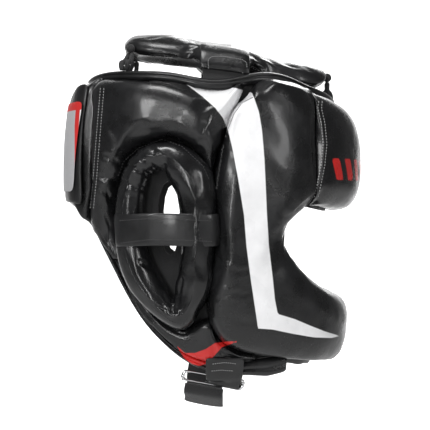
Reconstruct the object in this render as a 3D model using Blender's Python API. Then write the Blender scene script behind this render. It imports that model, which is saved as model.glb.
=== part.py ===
"""Padded leather sparring headgear with a nose and cheek bar, in the shape it has when worn.

Metres, +Z up. The wearer faces -Y and the wearer's right side is -X. The origin is the middle
of the crown pad's underside, where the head carries the headgear.

Every pad lies on one head form. A place on the form is an angle in degrees from straight
ahead, positive towards the wearer's right, and a share of the shell's height from the top rim
down. A depth is measured outwards from the form.
"""
import math
from collections import namedtuple

import bmesh
import bpy
from mathutils import Vector

# The head form
HEAD_FRONT = 0.101
HEAD_BACK = 0.105
HEAD_HALF_WIDTH = 0.080
SHELL_HEIGHT = 0.253
RIM_DROP = 0.017
SQUARENESS = 0.05

# Thickness of the pads and leather
FOREHEAD_THICKNESS = 0.029
CHEEK_THICKNESS = 0.025
SIDE_THICKNESS = 0.021
EAR_GUARD_THICKNESS = 0.027
JAW_THICKNESS = 0.011
REAR_THICKNESS = 0.020
CROWN_THICKNESS = 0.016
LINING_THICKNESS = 0.002
LEATHER_THICKNESS = 0.002
LABEL_THICKNESS = 0.001
WEBBING_THICKNESS = 0.0015

# Bindings
BINDING_HEIGHT = 0.007
BINDING_THICKNESS = 0.010

# Crown pad
CROWN_FRONT = HEAD_FRONT - 0.001
CROWN_BACK = HEAD_BACK - 0.028
CROWN_MIDDLE = 0.012
CROWN_ARM = HEAD_HALF_WIDTH - 0.014
CROWN_ARM_HALF_WIDTH = 0.023
CROWN_FRONT_HALF_WIDTH = 0.034
CROWN_REAR_HALF_WIDTH = 0.048
CROWN_DROP = 0.024
CROWN_ARCH = 0.020
CROWN_ROLL = 0.012

# Straps, laces and ring
EAR_STRAP_WIDTH = 0.022
CROWN_TAB_WIDTH = 0.040
LACE_DIAMETER = 0.0028
KNOT_DIAMETER = 0.008
LOOP_SPAN = 0.0075
LOOP_HEIGHT = 0.0085
LOOP_DIAMETER = 0.0026
RING_LENGTH = 0.052
RING_HEIGHT = 0.0125
RING_WIRE = 0.0032
RING_REAR_SHIFT = 0.008
JAW_TAB_WIDTH = 0.026
CHIN_STRAP_WIDTH = 0.029
CHIN_STRAP_HANG = 0.0165
CHIN_STRAP_TAIL = 0.024

# Clearances
SEAM_GAP = 0.0006
LAY_GAP = 0.0010
SKIN_GAP = 0.0004

# Angles, in degrees
FOREHEAD_SEAM = 44.0
CHIN_BINDING_END = 58.0
RING_ANGLE = 83.0
RING_TILT = 10.0
LACE_ANGLE = 136.0

FormRow = namedtuple("FormRow", "at front back side")
FORM = (
    FormRow(at=-0.06, front=0.83, back=0.82, side=0.81),
    FormRow(at=0.00, front=0.89, back=0.89, side=0.88),
    FormRow(at=0.10, front=0.96, back=0.96, side=0.94),
    FormRow(at=0.25, front=1.00, back=1.00, side=0.99),
    FormRow(at=0.45, front=1.00, back=1.00, side=1.00),
    FormRow(at=0.65, front=0.97, back=0.95, side=0.96),
    FormRow(at=0.85, front=0.92, back=0.87, side=0.88),
    FormRow(at=1.00, front=0.88, back=0.78, side=0.78),
    FormRow(at=1.10, front=0.83, back=0.70, side=0.70),
)

# Top rim: share down the shell, and depth and reach of the binding as shares of its thickness
RimRow = namedtuple("RimRow", "angle share depth reach")
RIM = (
    RimRow(angle=0, share=0.108, depth=0.72, reach=0.66),
    RimRow(angle=15, share=0.103, depth=0.71, reach=0.65),
    RimRow(angle=28, share=0.088, depth=0.66, reach=0.62),
    RimRow(angle=40, share=0.069, depth=0.58, reach=0.58),
    RimRow(angle=50, share=0.043, depth=0.52, reach=0.54),
    RimRow(angle=59, share=0.031, depth=0.50, reach=0.52),
    RimRow(angle=67, share=0.034, depth=0.50, reach=0.52),
    RimRow(angle=80, share=0.052, depth=0.50, reach=0.52),
    RimRow(angle=92, share=0.055, depth=0.50, reach=0.52),
    RimRow(angle=102, share=0.042, depth=0.50, reach=0.52),
    RimRow(angle=112, share=0.030, depth=0.50, reach=0.52),
    RimRow(angle=126, share=0.025, depth=0.50, reach=0.52),
    RimRow(angle=141, share=0.022, depth=0.50, reach=0.52),
    RimRow(angle=152, share=0.024, depth=0.54, reach=0.54),
    RimRow(angle=161, share=0.030, depth=0.62, reach=0.60),
    RimRow(angle=170, share=0.039, depth=0.70, reach=0.66),
    RimRow(angle=180, share=0.043, depth=0.74, reach=0.70),
)

# Lower edge, from the nape forwards to the chin
EdgeRow = namedtuple("EdgeRow", "angle share")
LOWER_EDGE = (
    EdgeRow(angle=48, share=0.972),
    EdgeRow(angle=60, share=0.992),
    EdgeRow(angle=71, share=1.009),
    EdgeRow(angle=83, share=1.014),
    EdgeRow(angle=94, share=1.000),
    EdgeRow(angle=104, share=0.974),
    EdgeRow(angle=113, share=0.930),
    EdgeRow(angle=122, share=0.866),
    EdgeRow(angle=130, share=0.788),
    EdgeRow(angle=138, share=0.684),
    EdgeRow(angle=143, share=0.626),
    EdgeRow(angle=148, share=0.570),
    EdgeRow(angle=155, share=0.525),
    EdgeRow(angle=165, share=0.503),
    EdgeRow(angle=180, share=0.497),
)

# Rear seam: angle at a share down the shell
REAR_SEAM = (
    EdgeRow(share=0.00, angle=147.5),
    EdgeRow(share=0.15, angle=147.5),
    EdgeRow(share=0.30, angle=147.8),
    EdgeRow(share=0.40, angle=149.6),
    EdgeRow(share=0.50, angle=153.5),
    EdgeRow(share=0.60, angle=158.0),
)

# Outer outline of the right ear guard, from its top forwards and round
EAR_OUTLINE = (
    EdgeRow(angle=110.7, share=0.249),
    EdgeRow(angle=101.5, share=0.261),
    EdgeRow(angle=95.4, share=0.299),
    EdgeRow(angle=92.3, share=0.370),
    EdgeRow(angle=91.4, share=0.460),
    EdgeRow(angle=91.6, share=0.570),
    EdgeRow(angle=92.4, share=0.670),
    EdgeRow(angle=93.8, share=0.770),
    EdgeRow(angle=97.2, share=0.843),
    EdgeRow(angle=104.0, share=0.876),
    EdgeRow(angle=113.5, share=0.849),
    EdgeRow(angle=122.5, share=0.786),
    EdgeRow(angle=129.8, share=0.712),
    EdgeRow(angle=134.0, share=0.625),
    EdgeRow(angle=135.2, share=0.530),
    EdgeRow(angle=133.8, share=0.442),
    EdgeRow(angle=130.0, share=0.355),
    EdgeRow(angle=121.8, share=0.277),
)

# Inner outline of the right ear guard, row for row with the outer one
EAR_HOLE = (
    EdgeRow(angle=111.0, share=0.350),
    EdgeRow(angle=106.5, share=0.362),
    EdgeRow(angle=103.2, share=0.388),
    EdgeRow(angle=101.3, share=0.430),
    EdgeRow(angle=100.5, share=0.490),
    EdgeRow(angle=100.4, share=0.560),
    EdgeRow(angle=100.9, share=0.630),
    EdgeRow(angle=102.4, share=0.700),
    EdgeRow(angle=104.9, share=0.752),
    EdgeRow(angle=107.1, share=0.762),
    EdgeRow(angle=109.4, share=0.738),
    EdgeRow(angle=112.6, share=0.700),
    EdgeRow(angle=115.8, share=0.650),
    EdgeRow(angle=118.5, share=0.595),
    EdgeRow(angle=120.3, share=0.530),
    EdgeRow(angle=120.4, share=0.455),
    EdgeRow(angle=118.6, share=0.395),
    EdgeRow(angle=115.2, share=0.358),
)

# Rear and lower edge of the right cheek, from its top corner to the middle of the nose bar
CHEEK_EDGE = (
    EdgeRow(angle=71.0, share=0.096),
    EdgeRow(angle=78.5, share=0.130),
    EdgeRow(angle=82.2, share=0.185),
    EdgeRow(angle=84.9, share=0.252),
    EdgeRow(angle=88.0, share=0.335),
    EdgeRow(angle=89.3, share=0.444),
    EdgeRow(angle=89.7, share=0.543),
    EdgeRow(angle=90.3, share=0.642),
    EdgeRow(angle=91.3, share=0.742),
    EdgeRow(angle=91.6, share=0.815),
    EdgeRow(angle=88.0, share=0.885),
    EdgeRow(angle=80.5, share=0.930),
    EdgeRow(angle=69.0, share=0.954),
    EdgeRow(angle=57.0, share=0.966),
    EdgeRow(angle=44.0, share=0.979),
    EdgeRow(angle=30.0, share=0.989),
    EdgeRow(angle=15.0, share=0.996),
    EdgeRow(angle=0.0, share=0.998),
)

# Face opening along the cheek and the bar; edge is the matching row of the cheek edge, below
# zero on the rim. Thick is a share of the cheek thickness, the rolls of the local thickness.
FaceRow = namedtuple("FaceRow", "angle share edge thick near_roll far_roll far_under")
FACE_SHELL = (
    FaceRow(angle=45.2, share=0.457, edge=-4.0, thick=0.84, near_roll=0.8, far_roll=0.6, far_under=0.1),
    FaceRow(angle=46.1, share=0.463, edge=-3.8, thick=0.94, near_roll=0.8, far_roll=0.6, far_under=0.1),
    FaceRow(angle=48.8, share=0.480, edge=-3.0, thick=0.98, near_roll=0.8, far_roll=0.6, far_under=0.1),
    FaceRow(angle=51.8, share=0.498, edge=-2.0, thick=0.98, near_roll=0.8, far_roll=0.6, far_under=0.1),
    FaceRow(angle=54.2, share=0.515, edge=-1.0, thick=0.97, near_roll=0.8, far_roll=0.6, far_under=0.1),
    FaceRow(angle=55.6, share=0.530, edge=0.0, thick=0.95, near_roll=0.8, far_roll=0.6, far_under=0.1),
    FaceRow(angle=56.3, share=0.545, edge=1.0, thick=0.94, near_roll=0.8, far_roll=0.6, far_under=0.1),
    FaceRow(angle=56.6, share=0.558, edge=2.0, thick=0.94, near_roll=0.8, far_roll=0.6, far_under=0.1),
    FaceRow(angle=56.7, share=0.570, edge=3.0, thick=0.94, near_roll=0.8, far_roll=0.6, far_under=0.1),
    FaceRow(angle=56.5, share=0.580, edge=4.0, thick=0.94, near_roll=0.8, far_roll=0.6, far_under=0.1),
    FaceRow(angle=56.2, share=0.590, edge=5.0, thick=0.94, near_roll=0.8, far_roll=0.6, far_under=0.1),
    FaceRow(angle=55.5, share=0.600, edge=6.0, thick=0.95, near_roll=0.8, far_roll=0.6, far_under=0.1),
    FaceRow(angle=54.8, share=0.610, edge=7.0, thick=0.96, near_roll=0.8, far_roll=0.6, far_under=0.1),
    FaceRow(angle=53.8, share=0.620, edge=8.0, thick=0.97, near_roll=0.8, far_roll=0.6, far_under=0.1),
    FaceRow(angle=52.6, share=0.631, edge=9.0, thick=0.98, near_roll=0.8, far_roll=0.6, far_under=0.1),
    FaceRow(angle=50.8, share=0.646, edge=10.0, thick=1.00, near_roll=0.8, far_roll=0.6, far_under=0.1),
    FaceRow(angle=48.5, share=0.664, edge=11.0, thick=1.01, near_roll=0.8, far_roll=0.7, far_under=0.14),
    FaceRow(angle=45.0, share=0.682, edge=12.0, thick=1.02, near_roll=0.85, far_roll=0.8, far_under=0.2),
    FaceRow(angle=40.5, share=0.702, edge=13.0, thick=1.02, near_roll=0.88, far_roll=0.86, far_under=0.28),
    FaceRow(angle=34.5, share=0.722, edge=14.0, thick=1.02, near_roll=0.9, far_roll=0.9, far_under=0.33),
    FaceRow(angle=26.5, share=0.740, edge=15.0, thick=1.02, near_roll=0.9, far_roll=0.9, far_under=0.35),
    FaceRow(angle=14.0, share=0.753, edge=16.0, thick=1.01, near_roll=0.9, far_roll=0.9, far_under=0.35),
    FaceRow(angle=0.0, share=0.757, edge=17.0, thick=1.01, near_roll=0.9, far_roll=0.9, far_under=0.35),
)

# Brow pad: share of its lower edge, and thickness, at shares of the way to its seams
BrowRow = namedtuple("BrowRow", "at share thick roll")
BROW = (
    BrowRow(at=0.00, share=0.480, thick=1.00, roll=1.14),
    BrowRow(at=0.20, share=0.479, thick=0.99, roll=1.13),
    BrowRow(at=0.40, share=0.476, thick=0.97, roll=1.08),
    BrowRow(at=0.60, share=0.471, thick=0.93, roll=1.02),
    BrowRow(at=0.78, share=0.464, thick=0.88, roll=0.94),
    BrowRow(at=0.90, share=0.460, thick=0.82, roll=0.86),
    BrowRow(at=0.975, share=0.457, thick=0.78, roll=0.82),
    BrowRow(at=1.00, share=0.456, thick=0.69, roll=0.80),
)

# Side pad: ear is a place on the ear outline; edge is a place on the cheek edge, or else the
# far side is on the rim or the lower edge at far_angle
SideRow = namedtuple("SideRow", "ear kind far thick roll")
SIDE_PAD = (
    SideRow(ear=3.30, kind="cheek", far=4.30, thick=0.35, roll=0.5),
    SideRow(ear=3.00, kind="cheek", far=4.00, thick=0.50, roll=0.6),
    SideRow(ear=2.60, kind="cheek", far=3.50, thick=0.66, roll=0.8),
    SideRow(ear=2.10, kind="cheek", far=2.80, thick=0.82, roll=0.9),
    SideRow(ear=1.60, kind="cheek", far=2.00, thick=0.94, roll=1.1),
    SideRow(ear=1.25, kind="cheek", far=1.20, thick=1.00, roll=1.2),
    SideRow(ear=0.95, kind="rim", far=72.5, thick=1.04, roll=1.3),
    SideRow(ear=0.65, kind="rim", far=82.0, thick=1.06, roll=1.1),
    SideRow(ear=0.30, kind="rim", far=92.0, thick=1.08, roll=0.95),
    SideRow(ear=-0.05, kind="rim", far=102.0, thick=1.08, roll=0.85),
    SideRow(ear=-0.40, kind="rim", far=112.0, thick=1.07, roll=0.8),
    SideRow(ear=-0.75, kind="rim", far=122.0, thick=1.05, roll=0.8),
    SideRow(ear=-1.10, kind="rim", far=132.0, thick=1.02, roll=0.8),
    SideRow(ear=-1.50, kind="rim", far=140.5, thick=0.98, roll=0.8),
    SideRow(ear=-1.90, kind="seam", far=0.050, thick=0.93, roll=0.8),
    SideRow(ear=-2.30, kind="seam", far=0.140, thick=0.87, roll=0.8),
    SideRow(ear=-2.75, kind="seam", far=0.240, thick=0.80, roll=0.8),
    SideRow(ear=-3.20, kind="seam", far=0.335, thick=0.72, roll=0.8),
    SideRow(ear=-3.65, kind="seam", far=0.420, thick=0.62, roll=0.7),
    SideRow(ear=-4.10, kind="lower", far=152.0, thick=0.52, roll=0.6),
    SideRow(ear=-4.60, kind="lower", far=146.5, thick=0.42, roll=0.5),
    SideRow(ear=-5.15, kind="lower", far=141.0, thick=0.34, roll=0.5),
)

# Jaw pad: its upper side on the ear outline or the cheek edge, its lower side at an angle
JawRow = namedtuple("JawRow", "kind near lower thick")
JAW_PANEL = (
    JawRow(kind="ear", near=12.70, lower=138.8, thick=0.40),
    JawRow(kind="ear", near=12.20, lower=133.5, thick=0.50),
    JawRow(kind="ear", near=11.70, lower=128.5, thick=0.60),
    JawRow(kind="ear", near=11.20, lower=123.0, thick=0.70),
    JawRow(kind="ear", near=10.70, lower=117.5, thick=0.82),
    JawRow(kind="ear", near=10.20, lower=112.0, thick=0.92),
    JawRow(kind="ear", near=9.60, lower=106.5, thick=1.00),
    JawRow(kind="ear", near=9.05, lower=101.5, thick=1.06),
    JawRow(kind="ear", near=8.65, lower=97.0, thick=1.10),
    JawRow(kind="cheek", near=9.30, lower=92.0, thick=1.08),
    JawRow(kind="cheek", near=9.75, lower=87.0, thick=1.04),
    JawRow(kind="cheek", near=10.30, lower=82.0, thick=1.00),
    JawRow(kind="cheek", near=10.90, lower=77.0, thick=0.92),
    JawRow(kind="cheek", near=11.50, lower=71.5, thick=0.80),
    JawRow(kind="cheek", near=12.10, lower=66.5, thick=0.62),
)

# Crown pad along its middle: at is -1 at the front tip and 1 at the rear one; height is a
# share of the crown drop, from the height at the origin
CrownRow = namedtuple("CrownRow", "at height")
CROWN_LINE = (
    CrownRow(at=-1.00, height=-1.08),
    CrownRow(at=-0.81, height=-0.84),
    CrownRow(at=-0.54, height=-0.50),
    CrownRow(at=-0.28, height=-0.16),
    CrownRow(at=0.00, height=0.00),
    CrownRow(at=0.49, height=0.13),
    CrownRow(at=0.78, height=0.13),
    CrownRow(at=0.91, height=0.10),
    CrownRow(at=1.00, height=-0.02),
)

# Colour, roughness and metallic value
Finish = namedtuple("Finish", "colour roughness metallic")
BLACK_LEATHER = Finish(colour=(0.010, 0.010, 0.011), roughness=0.28, metallic=0.0)
DULL_LEATHER = Finish(colour=(0.016, 0.016, 0.017), roughness=0.50, metallic=0.0)
LINING_FABRIC = Finish(colour=(0.012, 0.012, 0.013), roughness=0.75, metallic=0.0)
BLACK_WEBBING = Finish(colour=(0.014, 0.014, 0.014), roughness=0.85, metallic=0.0)
GREY_LABEL = Finish(colour=(0.50, 0.50, 0.51), roughness=0.50, metallic=0.0)
STEEL = Finish(colour=(0.62, 0.62, 0.63), roughness=0.22, metallic=1.0)


def smooth_between(rows, key, at, column):
    """Reads a table's column at a place along its key, on a smooth curve through the rows."""
    last = len(rows) - 1
    low = 0
    while low < last - 1 and getattr(rows[low + 1], key) < at:
        low += 1
    start = getattr(rows[low], key)
    span = getattr(rows[low + 1], key) - start
    share = min(max((at - start) / span, 0.0), 1.0)
    values = [getattr(rows[min(max(low + step, 0), last)], column) for step in (-1, 0, 1, 2)]
    return curve_value(values, share)


def curve_value(values, share):
    """A point of the Catmull-Rom curve between the middle two of four values."""
    before, start, end, after = values
    slope = end - before
    bend = 2.0 * before - 5.0 * start + 4.0 * end - after
    twist = 3.0 * start - before - 3.0 * end + after
    return 0.5 * (2.0 * start + slope * share + bend * share ** 2 + twist * share ** 3)


def along(rows, place_on_rows, closed=False):
    """Angle and share at a place on an outline, counted in rows."""
    low = math.floor(place_on_rows)
    if not closed:
        low = min(max(low, 0), len(rows) - 2)
    share = place_on_rows - low
    found = []
    for step in (-1, 0, 1, 2):
        index = low + step
        index = index % len(rows) if closed else min(max(index, 0), len(rows) - 1)
        found.append(rows[index])
    angle = curve_value([row.angle for row in found], share)
    return angle, curve_value([row.share for row in found], share)


def form_point(angle, share):
    """The point of the head form at an angle and a share down the shell."""
    turn = math.radians(angle)
    front = HEAD_FRONT * smooth_between(FORM, "at", share, "front")
    back = HEAD_BACK * smooth_between(FORM, "at", share, "back")
    width = HEAD_HALF_WIDTH * smooth_between(FORM, "at", share, "side")
    fullness = 1.0 + SQUARENESS * math.sin(2.0 * turn) ** 2
    reach = front if math.cos(turn) > 0.0 else back
    return Vector((
        -width * math.sin(turn) * fullness,
        -reach * math.cos(turn) * fullness,
        -RIM_DROP - share * SHELL_HEIGHT,
    ))


def form_normal(angle, share):
    """The outward direction of the head form."""
    across = form_point(angle + 0.5, share) - form_point(angle - 0.5, share)
    down = form_point(angle, share + 0.004) - form_point(angle, share - 0.004)
    return across.cross(down).normalized()


def place(angle, share, depth):
    """The point at a depth outside the head form."""
    return form_point(angle, share) + depth * form_normal(angle, share)


def rim_share(angle):
    """Share down the shell of the top rim's binding."""
    return smooth_between(RIM, "angle", abs(angle), "share")


def lower_share(angle):
    """Share down the shell of the lower edge's binding."""
    return smooth_between(LOWER_EDGE, "angle", abs(angle), "share")


def under_rim(angle):
    """Angle and share of a pad's edge that meets the rim binding."""
    return angle, rim_share(angle) + (0.5 * BINDING_HEIGHT + SEAM_GAP) / SHELL_HEIGHT


def over_lower_edge(angle):
    """Angle and share of a pad's edge that meets the lower binding."""
    return angle, lower_share(angle) - (0.5 * BINDING_HEIGHT + SEAM_GAP) / SHELL_HEIGHT


def rear_seam(share):
    """Angle and share of the rear seam at a share down the shell."""
    return smooth_between(REAR_SEAM, "share", share, "angle"), share


def new_object(name, mesh, finish):
    """Links a mesh as a named object with its own material."""
    obj = bpy.data.objects.new(name, mesh)
    bpy.context.scene.collection.objects.link(obj)
    material = bpy.data.materials.new(name)
    material.use_nodes = True
    shader = material.node_tree.nodes["Principled BSDF"]
    shader.inputs["Base Color"].default_value = (*finish.colour, 1.0)
    shader.inputs["Roughness"].default_value = finish.roughness
    shader.inputs["Metallic"].default_value = finish.metallic
    mesh.materials.append(material)
    return obj


def finish_mesh(name, work, finish, sharp=50.0):
    """Turns a working mesh into a smooth-shaded object."""
    bmesh.ops.recalc_face_normals(work, faces=work.faces)
    mesh = bpy.data.meshes.new(name)
    work.to_mesh(mesh)
    work.free()
    mesh.shade_smooth()
    mesh.set_sharp_from_angle(angle=math.radians(sharp))
    return new_object(name, mesh, finish)


def loft(name, sections, finish, closed=False):
    """A solid through closed sections of equal length; open ends are capped."""
    work = bmesh.new()
    rings = [[work.verts.new(point) for point in section] for section in sections]
    pairs = list(zip(rings, rings[1:]))
    if closed:
        pairs.append((rings[-1], rings[0]))
    for first, second in pairs:
        count = len(first)
        for index in range(count):
            following = (index + 1) % count
            work.faces.new((first[index], first[following], second[following], second[index]))
    if not closed:
        for ring in (rings[0], rings[-1]):
            middle = work.verts.new(sum((vert.co for vert in ring), Vector()) / len(ring))
            for index, vert in enumerate(ring):
                work.faces.new((vert, ring[(index + 1) % len(ring)], middle))
    return finish_mesh(name, work, finish)


def sheet(name, grid, thickness, finish):
    """A thin solid on both sides of a grid of points, rows of equal length."""
    rows = len(grid)
    columns = len(grid[0])
    work = bmesh.new()
    layers = ([], [])
    for row in range(rows):
        for layer in layers:
            layer.append([])
        for column in range(columns):
            along_row = grid[row][min(column + 1, columns - 1)] - grid[row][max(column - 1, 0)]
            down_rows = grid[min(row + 1, rows - 1)][column] - grid[max(row - 1, 0)][column]
            offset = 0.5 * thickness * along_row.cross(down_rows).normalized()
            layers[0][row].append(work.verts.new(grid[row][column] + offset))
            layers[1][row].append(work.verts.new(grid[row][column] - offset))
    for layer in layers:
        for row in range(rows - 1):
            for column in range(columns - 1):
                corners = (
                    layer[row][column],
                    layer[row][column + 1],
                    layer[row + 1][column + 1],
                    layer[row + 1][column],
                )
                work.faces.new(corners if layer is layers[0] else corners[::-1])
    border = [(0, column) for column in range(columns)]
    border += [(row, columns - 1) for row in range(1, rows)]
    border += [(rows - 1, column) for column in range(columns - 2, -1, -1)]
    border += [(row, 0) for row in range(rows - 2, 0, -1)]
    for start, end in zip(border, border[1:] + border[:1]):
        work.faces.new((
            layers[0][start[0]][start[1]],
            layers[1][start[0]][start[1]],
            layers[1][end[0]][end[1]],
            layers[0][end[0]][end[1]],
        ))
    return finish_mesh(name, work, finish)


def tube(name, points, diameter, finish, closed=False):
    """A round cord through a list of points."""
    curve = bpy.data.curves.new(name, "CURVE")
    curve.dimensions = "3D"
    curve.bevel_depth = 0.5 * diameter
    curve.bevel_resolution = 1
    curve.use_fill_caps = True
    spline = curve.splines.new("POLY")
    spline.points.add(len(points) - 1)
    for target, point in zip(spline.points, points):
        target.co = (*point, 1.0)
    spline.use_cyclic_u = closed
    return new_object(name, curve, finish)


def smooth_route(points, steps):
    """Points on a smooth curve through the route's own points."""
    last = len(points) - 1
    route = []
    for low in range(last):
        four = [points[min(max(low + step, 0), last)] for step in (-1, 0, 1, 2)]
        for step in range(steps):
            share = step / steps
            route.append(Vector([curve_value([p[axis] for p in four], share) for axis in range(3)]))
    route.append(Vector(points[-1]))
    return route


Edge = namedtuple("Edge", "roll under")
ROLL_STEPS = 3
MIDDLE_STEPS = 2
INNER_STEPS = 4


def edge_profile(thickness, roll, under):
    """Distance from a pad's edge and height over its back, from the back corner to the top."""
    widest = under * thickness
    points = [(0.6 * widest, 0.0)]
    for step in range(ROLL_STEPS + 1):
        turn = 0.5 * math.pi * step / ROLL_STEPS
        height = widest + (thickness - widest) * math.sin(turn)
        points.append((roll * (1.0 - math.cos(turn)), height))
    return points


def pad_section(path, thickness, near, far):
    """Closed section of a pad over a path on the form: its outside, then back along the head."""
    base = LINING_THICKNESS + LAY_GAP
    samples = [place(*path(step / 8.0), base) for step in range(9)]
    length = sum((b - a).length for a, b in zip(samples, samples[1:]))
    gap = 0.5 * SEAM_GAP
    inside = length - 2.0 * gap
    scale = min(1.0, 0.98 * inside / (near.roll + far.roll))
    near_points = edge_profile(thickness, near.roll * scale, near.under)
    far_points = edge_profile(thickness, far.roll * scale, far.under)
    flat = inside - (near.roll + far.roll) * scale
    outside = [(gap + distance, height) for distance, height in near_points]
    for step in range(1, MIDDLE_STEPS):
        outside.append((gap + near.roll * scale + flat * step / MIDDLE_STEPS, thickness))
    outside += [(length - gap - distance, height) for distance, height in reversed(far_points)]
    back_start = outside[-1][0]
    back_end = outside[0][0]
    for step in range(1, INNER_STEPS):
        outside.append((back_start + (back_end - back_start) * step / INNER_STEPS, 0.0))
    return [place(*path(distance / length), base + height) for distance, height in outside]


def straight(near, far):
    """A path on the form from one place to another."""
    def path(share):
        angle = near[0] + (far[0] - near[0]) * share
        return angle, near[1] + (far[1] - near[1]) * share
    return path


def mirrored(path):
    """The same path on the wearer's left."""
    def left(share):
        angle, down = path(share)
        return -angle, down
    return left


def on_side(path, side):
    """A path for the wearer's right, or mirrored for the left."""
    return path if side == "right" else mirrored(path)


def face_far_end(row):
    """Where a section of the face shell ends: on the rim, or on the cheek's edge."""
    if row.edge >= 0.0:
        return along(CHEEK_EDGE, row.edge)
    share = -row.edge / 4.0
    corner = CHEEK_EDGE[0].angle
    return under_rim(corner + (FOREHEAD_SEAM - corner) * share)


def make_face_shell():
    """Cheeks, temples and nose bar: one pad that runs round the face opening."""
    right = []
    left = []
    for row in FACE_SHELL:
        thickness = CHEEK_THICKNESS * row.thick
        near = Edge(roll=thickness * row.near_roll, under=0.35)
        far = Edge(roll=thickness * row.far_roll, under=row.far_under)
        angle = row.angle
        far_end = face_far_end(row)
        if row is FACE_SHELL[0]:
            start_gap = math.degrees(SEAM_GAP / HEAD_HALF_WIDTH)
            angle += start_gap
            far_end = (far_end[0] + start_gap, far_end[1])
        path = straight((angle, row.share), far_end)
        right.append(pad_section(path, thickness, near, far))
        left.append(pad_section(mirrored(path), thickness, near, far))
    loft("face_shell", right + left[-2::-1], BLACK_LEATHER)


def make_forehead_pad():
    """Brow pad from seam to seam, deepest in the middle."""
    sections = []
    places = [(row, -1.0) for row in reversed(BROW)] + [(row, 1.0) for row in BROW[1:]]
    for row, side in places:
        thickness = FOREHEAD_THICKNESS * row.thick
        edge = Edge(roll=thickness * row.roll, under=0.28)
        seam_low = FACE_SHELL[0].angle
        low = (side * row.at * seam_low, row.share)
        high = under_rim(side * row.at * FOREHEAD_SEAM)
        sections.append(pad_section(straight(low, high), thickness, edge, edge))
    loft("forehead_pad", sections, BLACK_LEATHER)


def side_far_end(row):
    """Where a section of the side pad ends."""
    if row.kind == "cheek":
        return along(CHEEK_EDGE, row.far)
    if row.kind == "rim":
        return under_rim(row.far)
    if row.kind == "seam":
        return rear_seam(row.far)
    return over_lower_edge(row.far)


def make_side_pad(side):
    """Arched pad over the ear, back to the rear seam and down behind the ear."""
    sections = []
    for row in SIDE_PAD:
        thickness = SIDE_THICKNESS * row.thick
        near = Edge(roll=0.7 * thickness, under=0.08)
        far = Edge(roll=thickness * row.roll, under=0.08)
        path = straight(along(EAR_OUTLINE, row.ear, closed=True), side_far_end(row))
        sections.append(pad_section(on_side(path, side), thickness, near, far))
    loft("side_pad_" + side, sections, BLACK_LEATHER)


def make_jaw_panel(side):
    """Pad under the ear guard, from behind the ear to beside the chin."""
    sections = []
    for row in JAW_PANEL:
        thickness = JAW_THICKNESS * row.thick
        edge = Edge(roll=0.7 * thickness, under=0.1)
        if row.kind == "ear":
            near_end = along(EAR_OUTLINE, row.near, closed=True)
        else:
            near_end = along(CHEEK_EDGE, row.near)
        path = straight(near_end, over_lower_edge(row.lower))
        sections.append(pad_section(on_side(path, side), thickness, edge, edge))
    loft("jaw_panel_" + side, sections, BLACK_LEATHER)


def make_ear_guard(side):
    """Stuffed teardrop ring round the ear hole."""
    sections = []
    for hole, outline in zip(EAR_HOLE, EAR_OUTLINE):
        path = straight((hole.angle, hole.share), (outline.angle, outline.share))
        near_point = place(hole.angle, hole.share, EAR_GUARD_THICKNESS)
        width = (place(outline.angle, outline.share, EAR_GUARD_THICKNESS) - near_point).length
        edge = Edge(roll=0.5 * width, under=0.30)
        sections.append(pad_section(on_side(path, side), EAR_GUARD_THICKNESS, edge, edge))
    loft("ear_guard_" + side, sections, BLACK_LEATHER, closed=True)


STRAP_ROW = 14
STRAP_FRONT_ROW = 4.55
StrapRow = namedtuple("StrapRow", "at height")
# at runs from the strap's rear end to its front end; height is a share of the guard's
EAR_STRAP = (
    StrapRow(at=0.00, height=0.50),
    StrapRow(at=0.03, height=0.74),
    StrapRow(at=0.08, height=0.93),
    StrapRow(at=0.16, height=1.03),
    StrapRow(at=0.28, height=1.05),
    StrapRow(at=0.45, height=1.03),
    StrapRow(at=0.62, height=1.02),
    StrapRow(at=0.78, height=1.04),
    StrapRow(at=0.88, height=1.02),
    StrapRow(at=0.94, height=0.93),
    StrapRow(at=0.98, height=0.76),
)


def make_ear_strap(side):
    """Leather strap laid over the ear guard, across the ear hole."""
    rear = along(EAR_OUTLINE, STRAP_ROW, closed=True)
    front = along(EAR_OUTLINE, STRAP_FRONT_ROW, closed=True)
    half = 0.5 * EAR_STRAP_WIDTH / SHELL_HEIGHT
    base = LINING_THICKNESS + LAY_GAP + 0.5 * LEATHER_THICKNESS + 2.0 * SKIN_GAP
    grid = []
    for row in EAR_STRAP:
        angle, share = straight((rear[0], rear[1] - 0.005), front)(row.at)
        angle = angle if side == "right" else -angle
        depth = base + row.height * EAR_GUARD_THICKNESS
        grid.append([place(angle, share + half * step, depth) for step in (-1.0, 0.0, 1.0)])
    sheet("ear_strap_" + side, grid, LEATHER_THICKNESS, BLACK_LEATHER)


REAR_STATIONS = 14


def make_rear_pad():
    """Pad across the back of the head, between the two rear seams."""
    sections = []
    for station in range(REAR_STATIONS + 1):
        across = 2.0 * station / REAR_STATIONS - 1.0
        gap = math.degrees(SEAM_GAP / HEAD_BACK)

        def path(share, across=across, gap=gap):
            seam_angle = rear_seam(0.5 - 0.45 * share)[0] + gap
            angle = 180.0 + across * (180.0 - seam_angle)
            measured = angle if angle <= 180.0 else 360.0 - angle
            low = over_lower_edge(measured)[1]
            high = under_rim(measured)[1]
            return angle, low + (high - low) * share

        rise = min(1.0, (1.0 - abs(across)) * REAR_STATIONS / 3.0)
        thickness = REAR_THICKNESS * (1.0 - 0.45 * (1.0 - rise) ** 2)
        edge = Edge(roll=0.9 * thickness, under=0.12)
        sections.append(pad_section(path, thickness, edge, edge))
    loft("rear_pad", sections, BLACK_LEATHER)


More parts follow.
